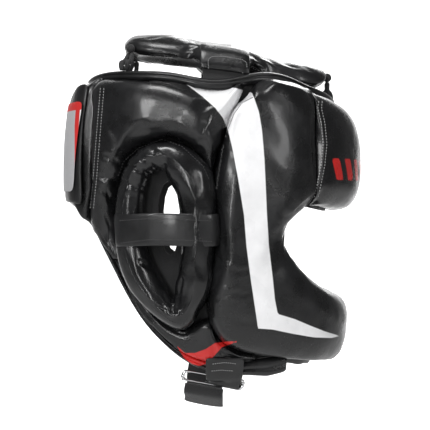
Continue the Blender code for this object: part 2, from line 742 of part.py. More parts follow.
# Closure flap: angle, shares down the shell of its top and bottom, and the share of the rear
# pad's thickness that it lies over
FlapRow = namedtuple("FlapRow", "angle top bottom lift")
FLAP = (
    FlapRow(angle=150.2, top=0.084, bottom=0.440, lift=0.84),
    FlapRow(angle=152.8, top=0.080, bottom=0.440, lift=0.97),
    FlapRow(angle=157.0, top=0.082, bottom=0.438, lift=1.00),
    FlapRow(angle=162.0, top=0.092, bottom=0.436, lift=1.00),
    FlapRow(angle=168.0, top=0.103, bottom=0.434, lift=1.00),
    FlapRow(angle=174.0, top=0.107, bottom=0.434, lift=1.00),
    FlapRow(angle=180.0, top=0.107, bottom=0.434, lift=1.00),
    FlapRow(angle=187.0, top=0.107, bottom=0.434, lift=1.00),
    FlapRow(angle=194.0, top=0.107, bottom=0.432, lift=1.00),
    FlapRow(angle=200.0, top=0.107, bottom=0.430, lift=1.00),
    FlapRow(angle=204.0, top=0.115, bottom=0.420, lift=1.00),
)
LABEL_START = 154.0
LABEL_END = 200.0
LABEL_TOP = 0.125
LABEL_BOTTOM = 0.405


def wrap(name, rows, lay, thickness, finish):
    """A sheet that lies round the back of the head, over the rear pad."""
    grid = []
    for row in rows:
        depth = LINING_THICKNESS + LAY_GAP + row.lift * REAR_THICKNESS + lay + 0.5 * thickness
        shares = [row.top + (row.bottom - row.top) * step / 5.0 for step in range(6)]
        grid.append([place(row.angle, share, depth) for share in shares])
    sheet(name, grid, thickness, finish)


def make_closure():
    """Hook-and-loop flap over the rear pad, with its label patch."""
    wrap("closure_flap", FLAP, SKIN_GAP, LEATHER_THICKNESS, DULL_LEATHER)
    label = []
    for step in range(9):
        angle = LABEL_START + (LABEL_END - LABEL_START) * step / 8
        lift = smooth_between(FLAP, "angle", angle, "lift")
        label.append(FlapRow(angle, LABEL_TOP, LABEL_BOTTOM, lift))
    wrap("back_label", label, LEATHER_THICKNESS + 2.0 * SKIN_GAP, LABEL_THICKNESS, GREY_LABEL)


BINDING_SIDES = 8


def binding_section(angle, share, depth, reach):
    """Rounded section of a leather binding, wide across the pads' edges."""
    section = []
    for corner in range(BINDING_SIDES):
        turn = 2.0 * math.pi * (corner + 0.5) / BINDING_SIDES
        down = share + 0.5 * BINDING_HEIGHT * 1.08 * math.sin(turn) / SHELL_HEIGHT
        section.append(place(angle, down, depth + reach * 1.08 * math.cos(turn)))
    return section


def make_rim_binding():
    """Binding round the whole top rim."""
    sections = []
    count = 44
    for index in range(count):
        angle = -180.0 + 360.0 * index / count
        depth = BINDING_THICKNESS * smooth_between(RIM, "angle", abs(angle), "depth")
        reach = BINDING_THICKNESS * smooth_between(RIM, "angle", abs(angle), "reach")
        sections.append(binding_section(angle, rim_share(angle), depth, reach))
    loft("rim_binding", sections, BLACK_LEATHER, closed=True)


def make_edge_binding():
    """Binding along the lower edge, from beside the chin round the nape to the other side."""
    sections = []
    count = 42
    for index in range(count + 1):
        angle = CHIN_BINDING_END + (360.0 - 2.0 * CHIN_BINDING_END) * index / count
        measured = angle if angle <= 180.0 else 360.0 - angle
        depth = 0.45 * BINDING_THICKNESS
        reach = 0.42 * BINDING_THICKNESS
        sections.append(binding_section(angle, lower_share(measured), depth, reach))
    loft("edge_binding", sections, BLACK_LEATHER)


def opening_outline():
    """Places round the face opening in the lining, from the right brow round and back."""
    right = [(row.angle, row.share) for row in FACE_SHELL[:-1]]
    middle = [(0.0, FACE_SHELL[-1].share)]
    left = [(-angle, share) for angle, share in reversed(right)]
    brow = [(-row.at * FACE_SHELL[0].angle, row.share) for row in reversed(BROW[:-1])]
    brow += [(row.at * FACE_SHELL[0].angle, row.share) for row in BROW[1:-1]]
    return right + middle + left + brow


def ear_hole_outline(side):
    """Places round the lining's ear hole, which is narrower than the guard's."""
    sign = 1.0 if side == "right" else -1.0
    middle_angle = 109.6
    middle_share = 0.505
    outline = []
    for step in range(14):
        turn = 2.0 * math.pi * step / 14
        angle = middle_angle + 5.2 * math.sin(turn)
        outline.append((sign * angle, middle_share + 0.125 * math.cos(turn)))
    return outline


def cut_through(target, name, outline, reach):
    """Cuts an outline on the form right through the lining, as far out as its reach."""
    inside = -4.0 * LINING_THICKNESS
    sections = [[place(angle, share, depth) for angle, share in outline] for depth in (inside, reach)]
    cutter = loft(name, sections, LINING_FABRIC)
    cutter.hide_render = True
    cutter.display_type = "WIRE"
    cut = target.modifiers.new(name, "BOOLEAN")
    cut.operation = "DIFFERENCE"
    cut.solver = "EXACT"
    cut.object = cutter


def lining_bottom(angle):
    """Share down the shell of the lining's lower edge."""
    if abs(angle) > CHIN_BINDING_END:
        return over_lower_edge(angle)[1]
    chin = CHEEK_EDGE[-1].share - SEAM_GAP / SHELL_HEIGHT
    start = over_lower_edge(CHIN_BINDING_END)[1]
    return start + (chin - start) * math.cos(0.5 * math.pi * abs(angle) / CHIN_BINDING_END)


def make_lining():
    """Leather lining under all the pads, with the face open and a hole at each ear."""
    columns = 40
    rows = 5
    sections = []
    for column in range(columns):
        angle = -180.0 + 360.0 * column / columns
        top = under_rim(angle)[1]
        bottom = lining_bottom(angle)
        shares = [top + (bottom - top) * row / rows for row in range(rows + 1)]
        section = [place(angle, share, 0.0) for share in shares]
        section += [place(angle, share, LINING_THICKNESS) for share in reversed(shares)]
        sections.append(section)
    lining = loft("inner_lining", sections, LINING_FABRIC, closed=True)
    cut_through(lining, "face_cutter", opening_outline(), HEAD_FRONT)
    for side in ("right", "left"):
        cut_through(lining, "ear_cutter_" + side, ear_hole_outline(side), 4.0 * LINING_THICKNESS)


def crown_height(x, y):
    """Height of the crown pad's middle surface over the plan point."""
    at = y / CROWN_FRONT if y < 0.0 else y / CROWN_BACK
    at = min(max(at, -1.0), 1.0)
    line = 0.5 * CROWN_THICKNESS + CROWN_DROP * smooth_between(CROWN_LINE, "at", at, "height")
    return line - CROWN_ARCH * (x / CROWN_ARM) ** 2


def crown_reach(turn):
    """Distance from the crown's middle to its outline, in a direction of the plan."""
    across = abs(math.cos(turn))
    ahead = math.sin(turn)
    if ahead < 0.0:
        length = CROWN_FRONT - CROWN_MIDDLE
        width = CROWN_FRONT_HALF_WIDTH
    else:
        length = CROWN_BACK + CROWN_MIDDLE
        width = CROWN_REAR_HALF_WIDTH
    main = (abs(ahead / length) ** 4 + (across / width) ** 4) ** -0.25
    arm = ((across / CROWN_ARM) ** 4 + abs(ahead / CROWN_ARM_HALF_WIDTH) ** 4) ** -0.25
    return (main ** 8 + arm ** 8) ** 0.125


def crown_point(turn, share, side):
    """A point of the crown pad's skin: share of the way out, and side 1 on top or -1 below."""
    reach = crown_reach(turn)
    x = math.cos(turn) * reach * share
    y = math.sin(turn) * reach * share - CROWN_MIDDLE
    into_roll = max(0.0, 1.0 - (1.0 - share) * reach / CROWN_ROLL)
    half = 0.5 * CROWN_THICKNESS * math.sqrt(max(0.0, 1.0 - into_roll ** 2))
    return Vector((x, y, crown_height(x, y) + side * half))


def make_crown_pad():
    """Four-armed pad over the top of the head."""
    around = 40
    shares = (0.35, 0.66, 0.86, 0.96)
    work = bmesh.new()
    top = work.verts.new(crown_point(0.0, 0.0, 1.0))
    bottom = work.verts.new(crown_point(0.0, 0.0, -1.0))
    rings = []
    for share, side in [(s, 1.0) for s in shares] + [(1.0, 1.0)] + [(s, -1.0) for s in shares[::-1]]:
        turns = [2.0 * math.pi * index / around for index in range(around)]
        rings.append([work.verts.new(crown_point(turn, share, side)) for turn in turns])
    for index in range(around):
        following = (index + 1) % around
        work.faces.new((top, rings[0][index], rings[0][following]))
        work.faces.new((bottom, rings[-1][following], rings[-1][index]))
        for first, second in zip(rings, rings[1:]):
            work.faces.new((first[index], second[index], second[following], first[following]))
    finish_mesh("crown_pad", work, BLACK_LEATHER)


def make_crown_side(side):
    """Leather tab over a side arm's end, and the webbing from it down inside the rim."""
    sign = -1.0 if side == "right" else 1.0
    lift = 0.5 * LEATHER_THICKNESS + SKIN_GAP
    half_tab = 0.5 * CROWN_TAB_WIDTH
    grid = []
    for share in (0.78, 0.86, 0.93, 0.98):
        row = []
        for step in (-1.0, -0.5, 0.0, 0.5, 1.0):
            y = half_tab * step
            x = sign * CROWN_ARM * share
            into_roll = max(0.0, 1.0 - (1.0 - share) * CROWN_ARM / CROWN_ROLL)
            half = 0.5 * CROWN_THICKNESS * math.sqrt(1.0 - into_roll ** 2)
            rise = lift * (1.0 + 1.5 * into_roll)
            height = crown_height(x, y - CROWN_MIDDLE) + half + rise
            row.append(Vector((x + sign * 0.6 * into_roll * lift, y - CROWN_MIDDLE, height)))
        grid.append(row)
    end = CROWN_ARM + 2.4 * lift
    for drop in (0.0, 0.15, 0.28):
        row = []
        for step in (-1.0, -0.5, 0.0, 0.5, 1.0):
            y = half_tab * step - CROWN_MIDDLE
            height = crown_height(CROWN_ARM, y) - drop * CROWN_THICKNESS
            row.append(Vector((sign * end, y, height)))
        grid.append(row)
    sheet("crown_tab_" + side, grid, LEATHER_THICKNESS, DULL_LEATHER)

    inner = end - 0.5 * (LEATHER_THICKNESS + WEBBING_THICKNESS) - 1.5 * SKIN_GAP
    middle_angle = 90.0 - math.degrees(math.asin(CROWN_MIDDLE / HEAD_FRONT))
    half_angle = math.degrees(math.asin(half_tab / HEAD_FRONT))
    grid = []
    steps = (-0.9, -0.45, 0.0, 0.45, 0.9)
    for drop in (0.17, 0.33):
        row = []
        for step in steps:
            y = half_tab * step - CROWN_MIDDLE
            height = crown_height(CROWN_ARM, y) - drop * CROWN_THICKNESS
            row.append(Vector((sign * inner, y, height)))
        grid.append(row)
    for share, gap in ((0.035, 2.0), (0.060, 1.8), (0.095, 1.6), (0.130, 1.6), (0.165, 1.4)):
        row = []
        for step in steps:
            angle = -sign * (middle_angle + half_angle * step)
            row.append(place(angle, share, -0.5 * WEBBING_THICKNESS - gap * LAY_GAP))
        grid.append(row)
    sheet("crown_webbing_" + side, grid, WEBBING_THICKNESS, BLACK_WEBBING)


def make_lace(name, angle, crown_turn):
    """A loop across the rim, and the lace through it, knotted at the crown pad's edge."""
    depth = BINDING_THICKNESS * smooth_between(RIM, "angle", abs(angle), "depth")
    seat = place(angle, rim_share(angle), depth)
    seat.z += 0.5 * BINDING_HEIGHT + SKIN_GAP
    outward = form_normal(angle, rim_share(angle))
    outward.z = 0.0
    outward.normalize()
    up = Vector((0.0, 0.0, 1.0))
    rim_way = outward.cross(up)
    arch = []
    for step in range(9):
        turn = math.pi * step / 8
        rise = (LOOP_HEIGHT - 0.5 * LOOP_DIAMETER) * math.sin(turn) + 0.5 * LOOP_DIAMETER
        arch.append(seat + 0.5 * LOOP_SPAN * math.cos(turn) * outward + rise * up)
    tube("lace_loop_" + name, arch, LOOP_DIAMETER, BLACK_WEBBING)

    edge = crown_point(crown_turn, 1.0, 1.0)
    away = Vector((edge.x, edge.y + CROWN_MIDDLE, 0.0)).normalized()
    knot_middle = edge + (0.5 * KNOT_DIAMETER + SKIN_GAP) * away - 0.1 * KNOT_DIAMETER * up
    work = bmesh.new()
    bmesh.ops.create_uvsphere(work, u_segments=8, v_segments=5, radius=0.5 * KNOT_DIAMETER)
    bmesh.ops.translate(work, verts=work.verts, vec=knot_middle)
    finish_mesh("lace_knot_" + name, work, BLACK_WEBBING)

    low = seat + (0.5 * LACE_DIAMETER + 2.5 * SKIN_GAP) * up
    clear = 0.5 * (LOOP_DIAMETER + LACE_DIAMETER) + 2.0 * SKIN_GAP
    strands = []
    for sign in (1.0, -1.0):
        near_loop = low + sign * clear * rim_way
        under_knot = knot_middle - (0.5 * KNOT_DIAMETER + 2.5 * SKIN_GAP) * up
        start = under_knot + sign * 0.7 * LACE_DIAMETER * rim_way
        strands.append((start, near_loop))
    route = [
        strands[0][0],
        strands[0][0].lerp(strands[0][1], 0.5) + 0.3 * LACE_DIAMETER * rim_way,
        strands[0][1] + 0.6 * LOOP_HEIGHT * up,
        strands[0][1] + 0.1 * LOOP_HEIGHT * up,
        low,
        strands[1][1] + 0.1 * LOOP_HEIGHT * up,
        strands[1][1] + 0.6 * LOOP_HEIGHT * up,
        strands[1][0].lerp(strands[1][1], 0.5) - 0.3 * LACE_DIAMETER * rim_way,
        strands[1][0],
    ]
    tube("lace_" + name, smooth_route(route, 2), LACE_DIAMETER, BLACK_WEBBING)


def ring_frame(side):
    """Middle of the ring's upper bar, the way along the bar, and the way up and out from it."""
    sign = -1.0 if side == "right" else 1.0
    edge = form_point(RING_ANGLE, lower_share(RING_ANGLE))
    low = edge.z - 0.5 * BINDING_HEIGHT
    bar_z = low - LEATHER_THICKNESS - 0.5 * RING_WIRE - 3.0 * SKIN_GAP - 0.5 * LEATHER_THICKNESS
    tilt = math.radians(RING_TILT)
    bar = Vector((sign * abs(edge.x), edge.y, bar_z))
    way = Vector((0.0, -math.cos(tilt), -math.sin(tilt)))
    up = Vector((0.0, -math.sin(tilt), math.cos(tilt)))
    out = Vector((sign, 0.0, 0.0))
    return bar, way, up, out


FOLD_RADIUS = 0.5 * RING_WIRE + SKIN_GAP + 0.5 * LEATHER_THICKNESS
STRAP_FOLD = 0.5 * RING_WIRE + SKIN_GAP + 0.5 * WEBBING_THICKNESS
RING_CORNER = 1.3 * RING_WIRE


# Jaw tab above its fold: share down the shell from the lower edge, and depth as a share of
# the tab's depth over the jaw panel
TabRow = namedtuple("TabRow", "drop lift")
JAW_TAB_LINE = (
    TabRow(drop=-0.048, lift=1.00),
    TabRow(drop=-0.028, lift=0.96),
    TabRow(drop=-0.010, lift=0.86),
    TabRow(drop=0.008, lift=0.79),
    TabRow(drop=0.021, lift=0.60),
)


def make_jaw_tab(side):
    """Leather tab sewn on the jaw that folds round the ring's upper bar."""
    bar, way, up, out = ring_frame(side)
    half = 0.5 * JAW_TAB_WIDTH
    sign = 1.0 if side == "right" else -1.0
    grid = []
    jaw_top = LINING_THICKNESS + LAY_GAP + JAW_THICKNESS + 0.5 * LEATHER_THICKNESS + SKIN_GAP
    middle = lower_share(RING_ANGLE)
    steps = (-1.0, -0.5, 0.0, 0.5, 1.0)
    for drop, lift in JAW_TAB_LINE:
        row = []
        for step in steps:
            angle = RING_ANGLE - step * math.degrees(half / HEAD_HALF_WIDTH)
            row.append(place(sign * angle, middle + drop, lift * jaw_top))
        grid.append(row)
    for turn in (0.0, 45.0, 90.0, 135.0, 180.0):
        spin = math.radians(turn)
        offset = FOLD_RADIUS * (math.cos(spin) * out - math.sin(spin) * up)
        grid.append([bar + offset + half * step * way for step in steps])
    inner = bar - FOLD_RADIUS * out
    grid.append([inner + half * step * way + 0.6 * RING_HEIGHT * up for step in steps])
    sheet("jaw_tab_" + side, grid, LEATHER_THICKNESS, DULL_LEATHER)


def make_buckle_ring():
    """Rectangular wire ring in the right jaw tab's fold."""
    bar, way, up, out = ring_frame("right")
    middle = bar - RING_REAR_SHIFT * way - 0.5 * RING_HEIGHT * up
    half_length = 0.5 * RING_LENGTH
    half_height = 0.5 * RING_HEIGHT
    points = []
    for across, upright, start in ((1, 1, 0.0), (-1, 1, 90.0), (-1, -1, 180.0), (1, -1, 270.0)):
        centre_way = across * (half_length - RING_CORNER)
        centre_up = upright * (half_height - RING_CORNER)
        for step in range(5):
            turn = math.radians(start + 90.0 * step / 4)
            along_way = centre_way + RING_CORNER * math.cos(turn)
            along_up = centre_up + RING_CORNER * math.sin(turn)
            points.append(middle + along_way * way + along_up * up)
    tube("buckle_ring", points, RING_WIRE, STEEL, closed=True)


# Chin strap, seen from the front: across is a share of the half distance between the jaws,
# down a share of how far the strap hangs under the ring
StrapPoint = namedtuple("StrapPoint", "across down")
CHIN_LINE = (
    StrapPoint(across=-0.955, down=0.15),
    StrapPoint(across=-0.92, down=0.45),
    StrapPoint(across=-0.80, down=0.74),
    StrapPoint(across=-0.58, down=0.92),
    StrapPoint(across=-0.30, down=0.99),
    StrapPoint(across=0.00, down=1.00),
    StrapPoint(across=0.30, down=0.99),
    StrapPoint(across=0.58, down=0.92),
    StrapPoint(across=0.80, down=0.74),
    StrapPoint(across=0.92, down=0.45),
    StrapPoint(across=0.955, down=0.10),
)


def make_chin_strap():
    """Webbing strap: its tail, round the ring's lower bar, under the chin, to the left tab."""
    bar, way, up, out = ring_frame("right")
    left_bar = ring_frame("left")[0]
    lower = bar - RING_HEIGHT * up
    half_span = 0.5 * (left_bar.x - bar.x)
    main = []
    for point in CHIN_LINE:
        main.append(Vector((point.across * half_span, lower.y, lower.z - point.down * CHIN_STRAP_HANG)))
    layer_gap = WEBBING_THICKNESS + 2.0 * SKIN_GAP
    tail = []
    for before, here, after in zip(main, main[1:], main[2:]):
        slope = (after - before).normalized()
        outward = Vector((slope.z, 0.0, -slope.x))
        tail.append(here + layer_gap * outward)
    tail_length = 0.0
    kept = [tail[0]]
    for point in tail[1:]:
        tail_length += (point - kept[-1]).length
        if tail_length > CHIN_STRAP_TAIL:
            break
        kept.append(point)
    route = kept[::-1]
    route.append(lower + 1.02 * STRAP_FOLD * out - 1.6 * STRAP_FOLD * up)
    for turn in (0.0, 60.0, 120.0, 180.0):
        spin = math.radians(turn)
        route.append(lower + STRAP_FOLD * (math.cos(spin) * out + math.sin(spin) * up))
    route += main
    left_inner = left_bar + FOLD_RADIUS * Vector((-1.0, 0.0, 0.0))
    inset = 0.5 * (LEATHER_THICKNESS + WEBBING_THICKNESS) + SKIN_GAP
    strap_end = left_inner - Vector((inset, 0.0, 0.0))
    route.append(strap_end)
    route.append(strap_end + 0.6 * RING_HEIGHT * up)
    half = 0.5 * CHIN_STRAP_WIDTH
    room = 0.5 * RING_LENGTH - RING_CORNER - half - SKIN_GAP
    shift = RING_REAR_SHIFT + max(0.0, room)
    grid = []
    for point in smooth_route(route, 2):
        middle = point - shift * way
        grid.append([middle - half * way, middle + half * way])
    sheet("chin_strap", grid, WEBBING_THICKNESS, BLACK_WEBBING)


# Chin flap: share down the shell of its lower edge, right of the middle
CHIN_FLAP = (
    EdgeRow(angle=0.0, share=1.040),
    EdgeRow(angle=12.0, share=1.042),
    EdgeRow(angle=24.0, share=1.042),
    EdgeRow(angle=35.0, share=1.036),
    EdgeRow(angle=44.0, share=1.024),
    EdgeRow(angle=52.0, share=1.010),
)


def make_chin_flap():
    """Thin leather flap that shows under the nose bar."""
    rows = [EdgeRow(-row.angle, row.share) for row in CHIN_FLAP[:0:-1]]
    rows += CHIN_FLAP
    grid = []
    for row in rows:
        top = lining_bottom(row.angle) + SKIN_GAP / SHELL_HEIGHT
        shares = (top, 0.5 * (top + row.share), row.share)
        grid.append([place(row.angle, share, 0.5 * LEATHER_THICKNESS) for share in shares])
    sheet("chin_flap", grid, LEATHER_THICKNESS, DULL_LEATHER)


def main():
    """Clears the scene and builds every piece."""
    for obj in list(bpy.data.objects):
        bpy.data.objects.remove(obj)
    make_lining()
    make_forehead_pad()
    make_face_shell()
    make_rear_pad()
    make_closure()
    make_rim_binding()
    make_edge_binding()
    make_crown_pad()
    for side in ("right", "left"):
        make_side_pad(side)
        make_ear_guard(side)
        make_ear_strap(side)
        make_jaw_panel(side)
        make_crown_side(side)
        make_jaw_tab(side)
    make_lace("front", 0.0, -0.5 * math.pi)
    rear_turn = math.radians(64.0)
    make_lace("rear_left", -LACE_ANGLE, rear_turn)
    make_lace("rear_right", LACE_ANGLE, math.pi - rear_turn)
    make_buckle_ring()
    make_chin_strap()
    make_chin_flap()


main()
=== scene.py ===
"""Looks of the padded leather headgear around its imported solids.

The wearer faces -Y and the wearer's right side is -X, the side that the photo shows. A place on
that side can be named by the photo's pixel that it falls on, from the top left corner: the pieces
for it are set on the surface that the pixel meets, and mirrored for the wearer's left side.
"""

import math

import bmesh
import bpy
import numpy as np
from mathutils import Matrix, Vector, noise
from mathutils.bvhtree import BVHTree


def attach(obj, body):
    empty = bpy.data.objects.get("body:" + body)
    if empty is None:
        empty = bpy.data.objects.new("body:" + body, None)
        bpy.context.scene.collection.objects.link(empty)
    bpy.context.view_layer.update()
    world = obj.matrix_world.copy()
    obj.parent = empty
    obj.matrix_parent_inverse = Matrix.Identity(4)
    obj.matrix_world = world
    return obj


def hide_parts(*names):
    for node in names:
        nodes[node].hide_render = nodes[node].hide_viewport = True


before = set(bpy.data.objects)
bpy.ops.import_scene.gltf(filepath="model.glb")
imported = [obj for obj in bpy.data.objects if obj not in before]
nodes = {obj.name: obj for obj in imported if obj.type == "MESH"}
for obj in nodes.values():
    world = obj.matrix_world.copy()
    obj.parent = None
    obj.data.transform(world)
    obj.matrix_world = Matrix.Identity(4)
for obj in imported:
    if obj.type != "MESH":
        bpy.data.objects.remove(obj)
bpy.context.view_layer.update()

# The camera stands where the photo was taken from
PHOTO_WIDTH = 430
HALF_PHOTO = 0.5 * PHOTO_WIDTH
METRES_PER_PIXEL = 0.0009
CAMERA_DISTANCE = 1.5
CAMERA_PLACE = Vector((-CAMERA_DISTANCE, -0.0036, -0.1422))
CAMERA_TURN = (math.radians(90.0), 0.0, math.radians(-90.0))
SENSOR = 36.0
NEAREST_SEEN = 0.05
FARTHEST_SEEN = 20.0

camera = bpy.data.objects.new("camera", bpy.data.cameras.new("camera"))
bpy.context.scene.collection.objects.link(camera)
bpy.context.scene.camera = camera
camera.location = CAMERA_PLACE
camera.rotation_euler = CAMERA_TURN
camera.data.sensor_width = SENSOR
camera.data.lens = SENSOR * CAMERA_DISTANCE / (PHOTO_WIDTH * METRES_PER_PIXEL)
camera.data.clip_start = NEAREST_SEEN
camera.data.clip_end = FARTHEST_SEEN


def to_pixels(points):
    """The photo's pixels that points fall on; points on the wearer's left are mirrored first."""
    points = np.asarray(points, float)
    depth = CAMERA_DISTANCE - np.abs(points[..., 0])
    scale = CAMERA_DISTANCE / depth / METRES_PER_PIXEL
    across = HALF_PHOTO - (points[..., 1] - CAMERA_PLACE.y) * scale
    down = HALF_PHOTO - (points[..., 2] - CAMERA_PLACE.z) * scale
    return np.stack((across, down), axis=-1)


def pixel_ray(pixel):
    """Start and direction of the sight line through a pixel of the photo."""
    way = Vector((
        CAMERA_DISTANCE,
        -(pixel[0] - HALF_PHOTO) * METRES_PER_PIXEL,
        -(pixel[1] - HALF_PHOTO) * METRES_PER_PIXEL,
    ))
    return CAMERA_PLACE.copy(), way.normalized()


# The materials are node trees, with no picture in them
MIX_COLOURS = (6, 7)
MIX_RESULT = 2


class Shade:
    """A node material in the making."""

    def __init__(self, name):
        self.material = bpy.data.materials.new(name)
        self.material.use_nodes = True
        self.tree = self.material.node_tree
        self.shader = self.tree.nodes["Principled BSDF"]
        self.place = self.tree.nodes.new("ShaderNodeTexCoord").outputs["Object"]
        self.bump = None

    def node(self, kind, **values):
        made = self.tree.nodes.new(kind)
        for key, value in values.items():
            if key in made.inputs:
                made.inputs[key].default_value = value
            else:
                setattr(made, key, value)
        return made

    def link(self, source, target):
        self.tree.links.new(source, target)

    def noise(self, scale, detail=3.0, roughness=0.5, stretch=None):
        made = self.node("ShaderNodeTexNoise", Scale=scale, Detail=detail, Roughness=roughness)
        self.link(self.stretched(stretch), made.inputs["Vector"])
        return made.outputs["Fac"]

    def cells(self, scale, feature="DISTANCE_TO_EDGE"):
        made = self.node("ShaderNodeTexVoronoi", feature=feature, Scale=scale)
        self.link(self.place, made.inputs["Vector"])
        return made.outputs["Distance"]

    def stretched(self, stretch):
        if stretch is None:
            return self.place
        made = self.node("ShaderNodeMapping")
        made.inputs["Scale"].default_value = stretch
        self.link(self.place, made.inputs["Vector"])
        return made.outputs["Vector"]

    def attribute(self, name):
        return self.node("ShaderNodeAttribute", attribute_name=name).outputs["Fac"]

    def fit(self, source, low, high, new_low=0.0, new_high=1.0):
        made = self.node("ShaderNodeMapRange")
        ends = {"From Min": low, "From Max": high, "To Min": new_low, "To Max": new_high}
        for key, value in ends.items():
            made.inputs[key].default_value = value
        self.link(source, made.inputs["Value"])
        return made.outputs["Result"]

    def product(self, first, second):
        made = self.node("ShaderNodeMath", operation="MULTIPLY")
        self.link(first, made.inputs[0])
        self.link(second, made.inputs[1])
        return made.outputs["Value"]

    def mix(self, share, first, second):
        made = self.node("ShaderNodeMix", data_type="RGBA")
        self.link(share, made.inputs["Factor"])
        for index, value in zip(MIX_COLOURS, (first, second)):
            if isinstance(value, tuple):
                made.inputs[index].default_value = (*value, 1.0)
            else:
                self.link(value, made.inputs[index])
        return made.outputs[MIX_RESULT]

    def raise_by(self, height, distance, strength=1.0):
        made = self.node("ShaderNodeBump", Distance=distance, Strength=strength)
        self.link(height, made.inputs["Height"])
        if self.bump is not None:
            self.link(self.bump, made.inputs["Normal"])
        self.bump = made.outputs["Normal"]

    def done(self, colour=None, roughness=None):
        if colour is not None:
            self.link(colour, self.shader.inputs["Base Color"])
        if roughness is not None:
            self.link(roughness, self.shader.inputs["Roughness"])
        if self.bump is not None:
            self.link(self.bump, self.shader.inputs["Normal"])
        return self.material


BLACK = (0.0052, 0.0053, 0.0056)
WORN = (0.011, 0.011, 0.012)
WHITE = (0.80, 0.80, 0.81)
RED = (0.52, 0.018, 0.016)
EDGING = (0.80, 0.80, 0.80)
LABEL_GREYS = ((0.34, 0.34, 0.35), (0.46, 0.46, 0.47))
LEATHER_SPECULAR = 0.32
LEATHER_COAT = 0.22
LEATHER_COAT_ROUGHNESS = 0.12
SOILED = 0.9
WEAR_SCALE = 35.0
SOIL_SCALE = 60.0
DENT_SCALE = 28.0
CREASE_SCALE = 95.0
GRAIN_SCALE = 900.0
WEAVE_SHADOW = 0.45
CELLS_PER_BAND = 2.2
LABEL_THREADS = 2200.0


def leather(name, gloss=0.26, grain=0.00022, paint=(), creases=0.0008):
    """Coated black leather; paint names the attributes of its coloured panels."""
    shade = Shade(name)
    wear = shade.noise(WEAR_SCALE, detail=5.0, roughness=0.6)
    colour = shade.mix(shade.fit(wear, 0.42, 0.72), BLACK, WORN)
    rough = shade.fit(wear, 0.3, 0.75, gloss - 0.05, gloss + 0.12)
    for attribute, tint in paint:
        share = shade.fit(shade.attribute(attribute), -0.35, 0.35)
        soil = shade.fit(shade.noise(SOIL_SCALE, detail=4.0), 0.35, 0.7)
        tinted = shade.mix(soil, tint, tuple(SOILED * value for value in tint))
        colour = shade.mix(share, colour, tinted)
    shade.raise_by(shade.noise(DENT_SCALE, detail=2.0), 0.0022, 0.35)
    shade.raise_by(shade.noise(CREASE_SCALE, detail=6.0, roughness=0.62), creases, 0.5)
    shade.raise_by(shade.cells(GRAIN_SCALE), grain, 0.55)
    shade.shader.inputs["Specular IOR Level"].default_value = LEATHER_SPECULAR
    shade.shader.inputs["Coat Weight"].default_value = LEATHER_COAT
    shade.shader.inputs["Coat Roughness"].default_value = LEATHER_COAT_ROUGHNESS
    return shade.done(colour, rough)


def fabric(name, colour, scale=700.0, depth=0.0003, sheen=0.2, roughness=0.8):
    """A close plain weave."""
    shade = Shade(name)
    bands = shade.node(
        "ShaderNodeTexWave", wave_type="BANDS", bands_direction="DIAGONAL", Scale=scale, Distortion=0.6)
    shade.link(shade.place, bands.inputs["Vector"])
    cells = shade.cells(scale * CELLS_PER_BAND, feature="F1")
    weave = shade.product(bands.outputs["Fac"], cells)
    dark = tuple(WEAVE_SHADOW * value for value in colour)
    shade.raise_by(weave, depth, 0.8)
    shade.raise_by(shade.noise(40.0), 0.001, 0.3)
    shade.shader.inputs["Sheen Weight"].default_value = sheen
    shade.shader.inputs["Sheen Roughness"].default_value = 0.5
    shade.shader.inputs["Roughness"].default_value = roughness
    return shade.done(shade.mix(shade.fit(weave, 0.0, 0.6), dark, colour))


def label_cloth(name):
    """Light grey printed patch with a white edging line, a red strip and a red band."""
    shade = Shade(name)
    threads = shade.cells(LABEL_THREADS, feature="F1")
    colour = shade.mix(threads, *LABEL_GREYS)
    for attribute, tint in (("edging", EDGING), ("red", RED)):
        share = shade.fit(shade.attribute(attribute), -0.25, 0.25)
        colour = shade.mix(share, colour, tint)
    shade.raise_by(threads, 0.0001, 0.5)
    shade.raise_by(shade.noise(40.0), 0.0008, 0.3)
    shade.shader.inputs["Roughness"].default_value = 0.55
    return shade.done(colour)


def metal(name):
    """Plated steel wire with faint scratches."""
    shade = Shade(name)
    scratches = shade.noise(220.0, detail=6.0, stretch=(1.0, 0.15, 1.0))
    shade.raise_by(scratches, 0.0001, 0.3)
    shade.shader.inputs["Metallic"].default_value = 1.0
    colour = shade.mix(scratches, (0.50, 0.50, 0.51), (0.78, 0.78, 0.79))
    return shade.done(colour, shade.fit(scratches, 0.2, 0.8, 0.14, 0.3))


MAT = {
    "cheek": leather("cheek_leather", paint=(("white", WHITE), ("red", RED))),
    "pad": leather("pad_leather"),
    "brow": leather("brow_leather", gloss=0.24, paint=(("print", RED),)),
    "jaw": leather("jaw_leather", paint=(("red", RED),)),
    "ear": leather("ear_leather", gloss=0.17, grain=0.00012, creases=0.0009),
    "plain": leather("plain_leather", gloss=0.36),
    "dull": leather("dull_leather", gloss=0.46),
    "lining": fabric("lining_fabric", (0.014, 0.014, 0.015), scale=500.0),
    "web": fabric("webbing_fabric", (0.016, 0.016, 0.017), scale=900.0, depth=0.0004),
    "lace": fabric("lace_cord", (0.015, 0.015, 0.016), scale=1200.0, sheen=0.1, roughness=0.7),
    "label": label_cloth("label_fabric"),
    "thread": fabric("stitch_thread", (0.030, 0.030, 0.031), scale=1500.0, depth=0.0001),
    # Pale thread for the stitches, also laid as a painted highlight along the crown tab's lower fold
    "pale_thread_and_highlight": fabric("pale_thread_and_highlight", (0.42, 0.42, 0.42), scale=1500.0, depth=0.0001),
    # The seam cord is painted shade: an unbroken grey bead laid where the white panels' joint falls
    # into shadow
    "seam_shadow_cord": fabric("seam_shadow_cord", (0.12, 0.12, 0.12), scale=1500.0, depth=0.0001),
    "metal": metal("plated_wire"),
}


# The pads' covers are made from the solids
WELD_DISTANCE = 0.00002
JOIN_ANGLE = math.radians(40.0)
JOIN_SHAPE_ANGLE = math.radians(60.0)
FIT_SHARE = 0.8


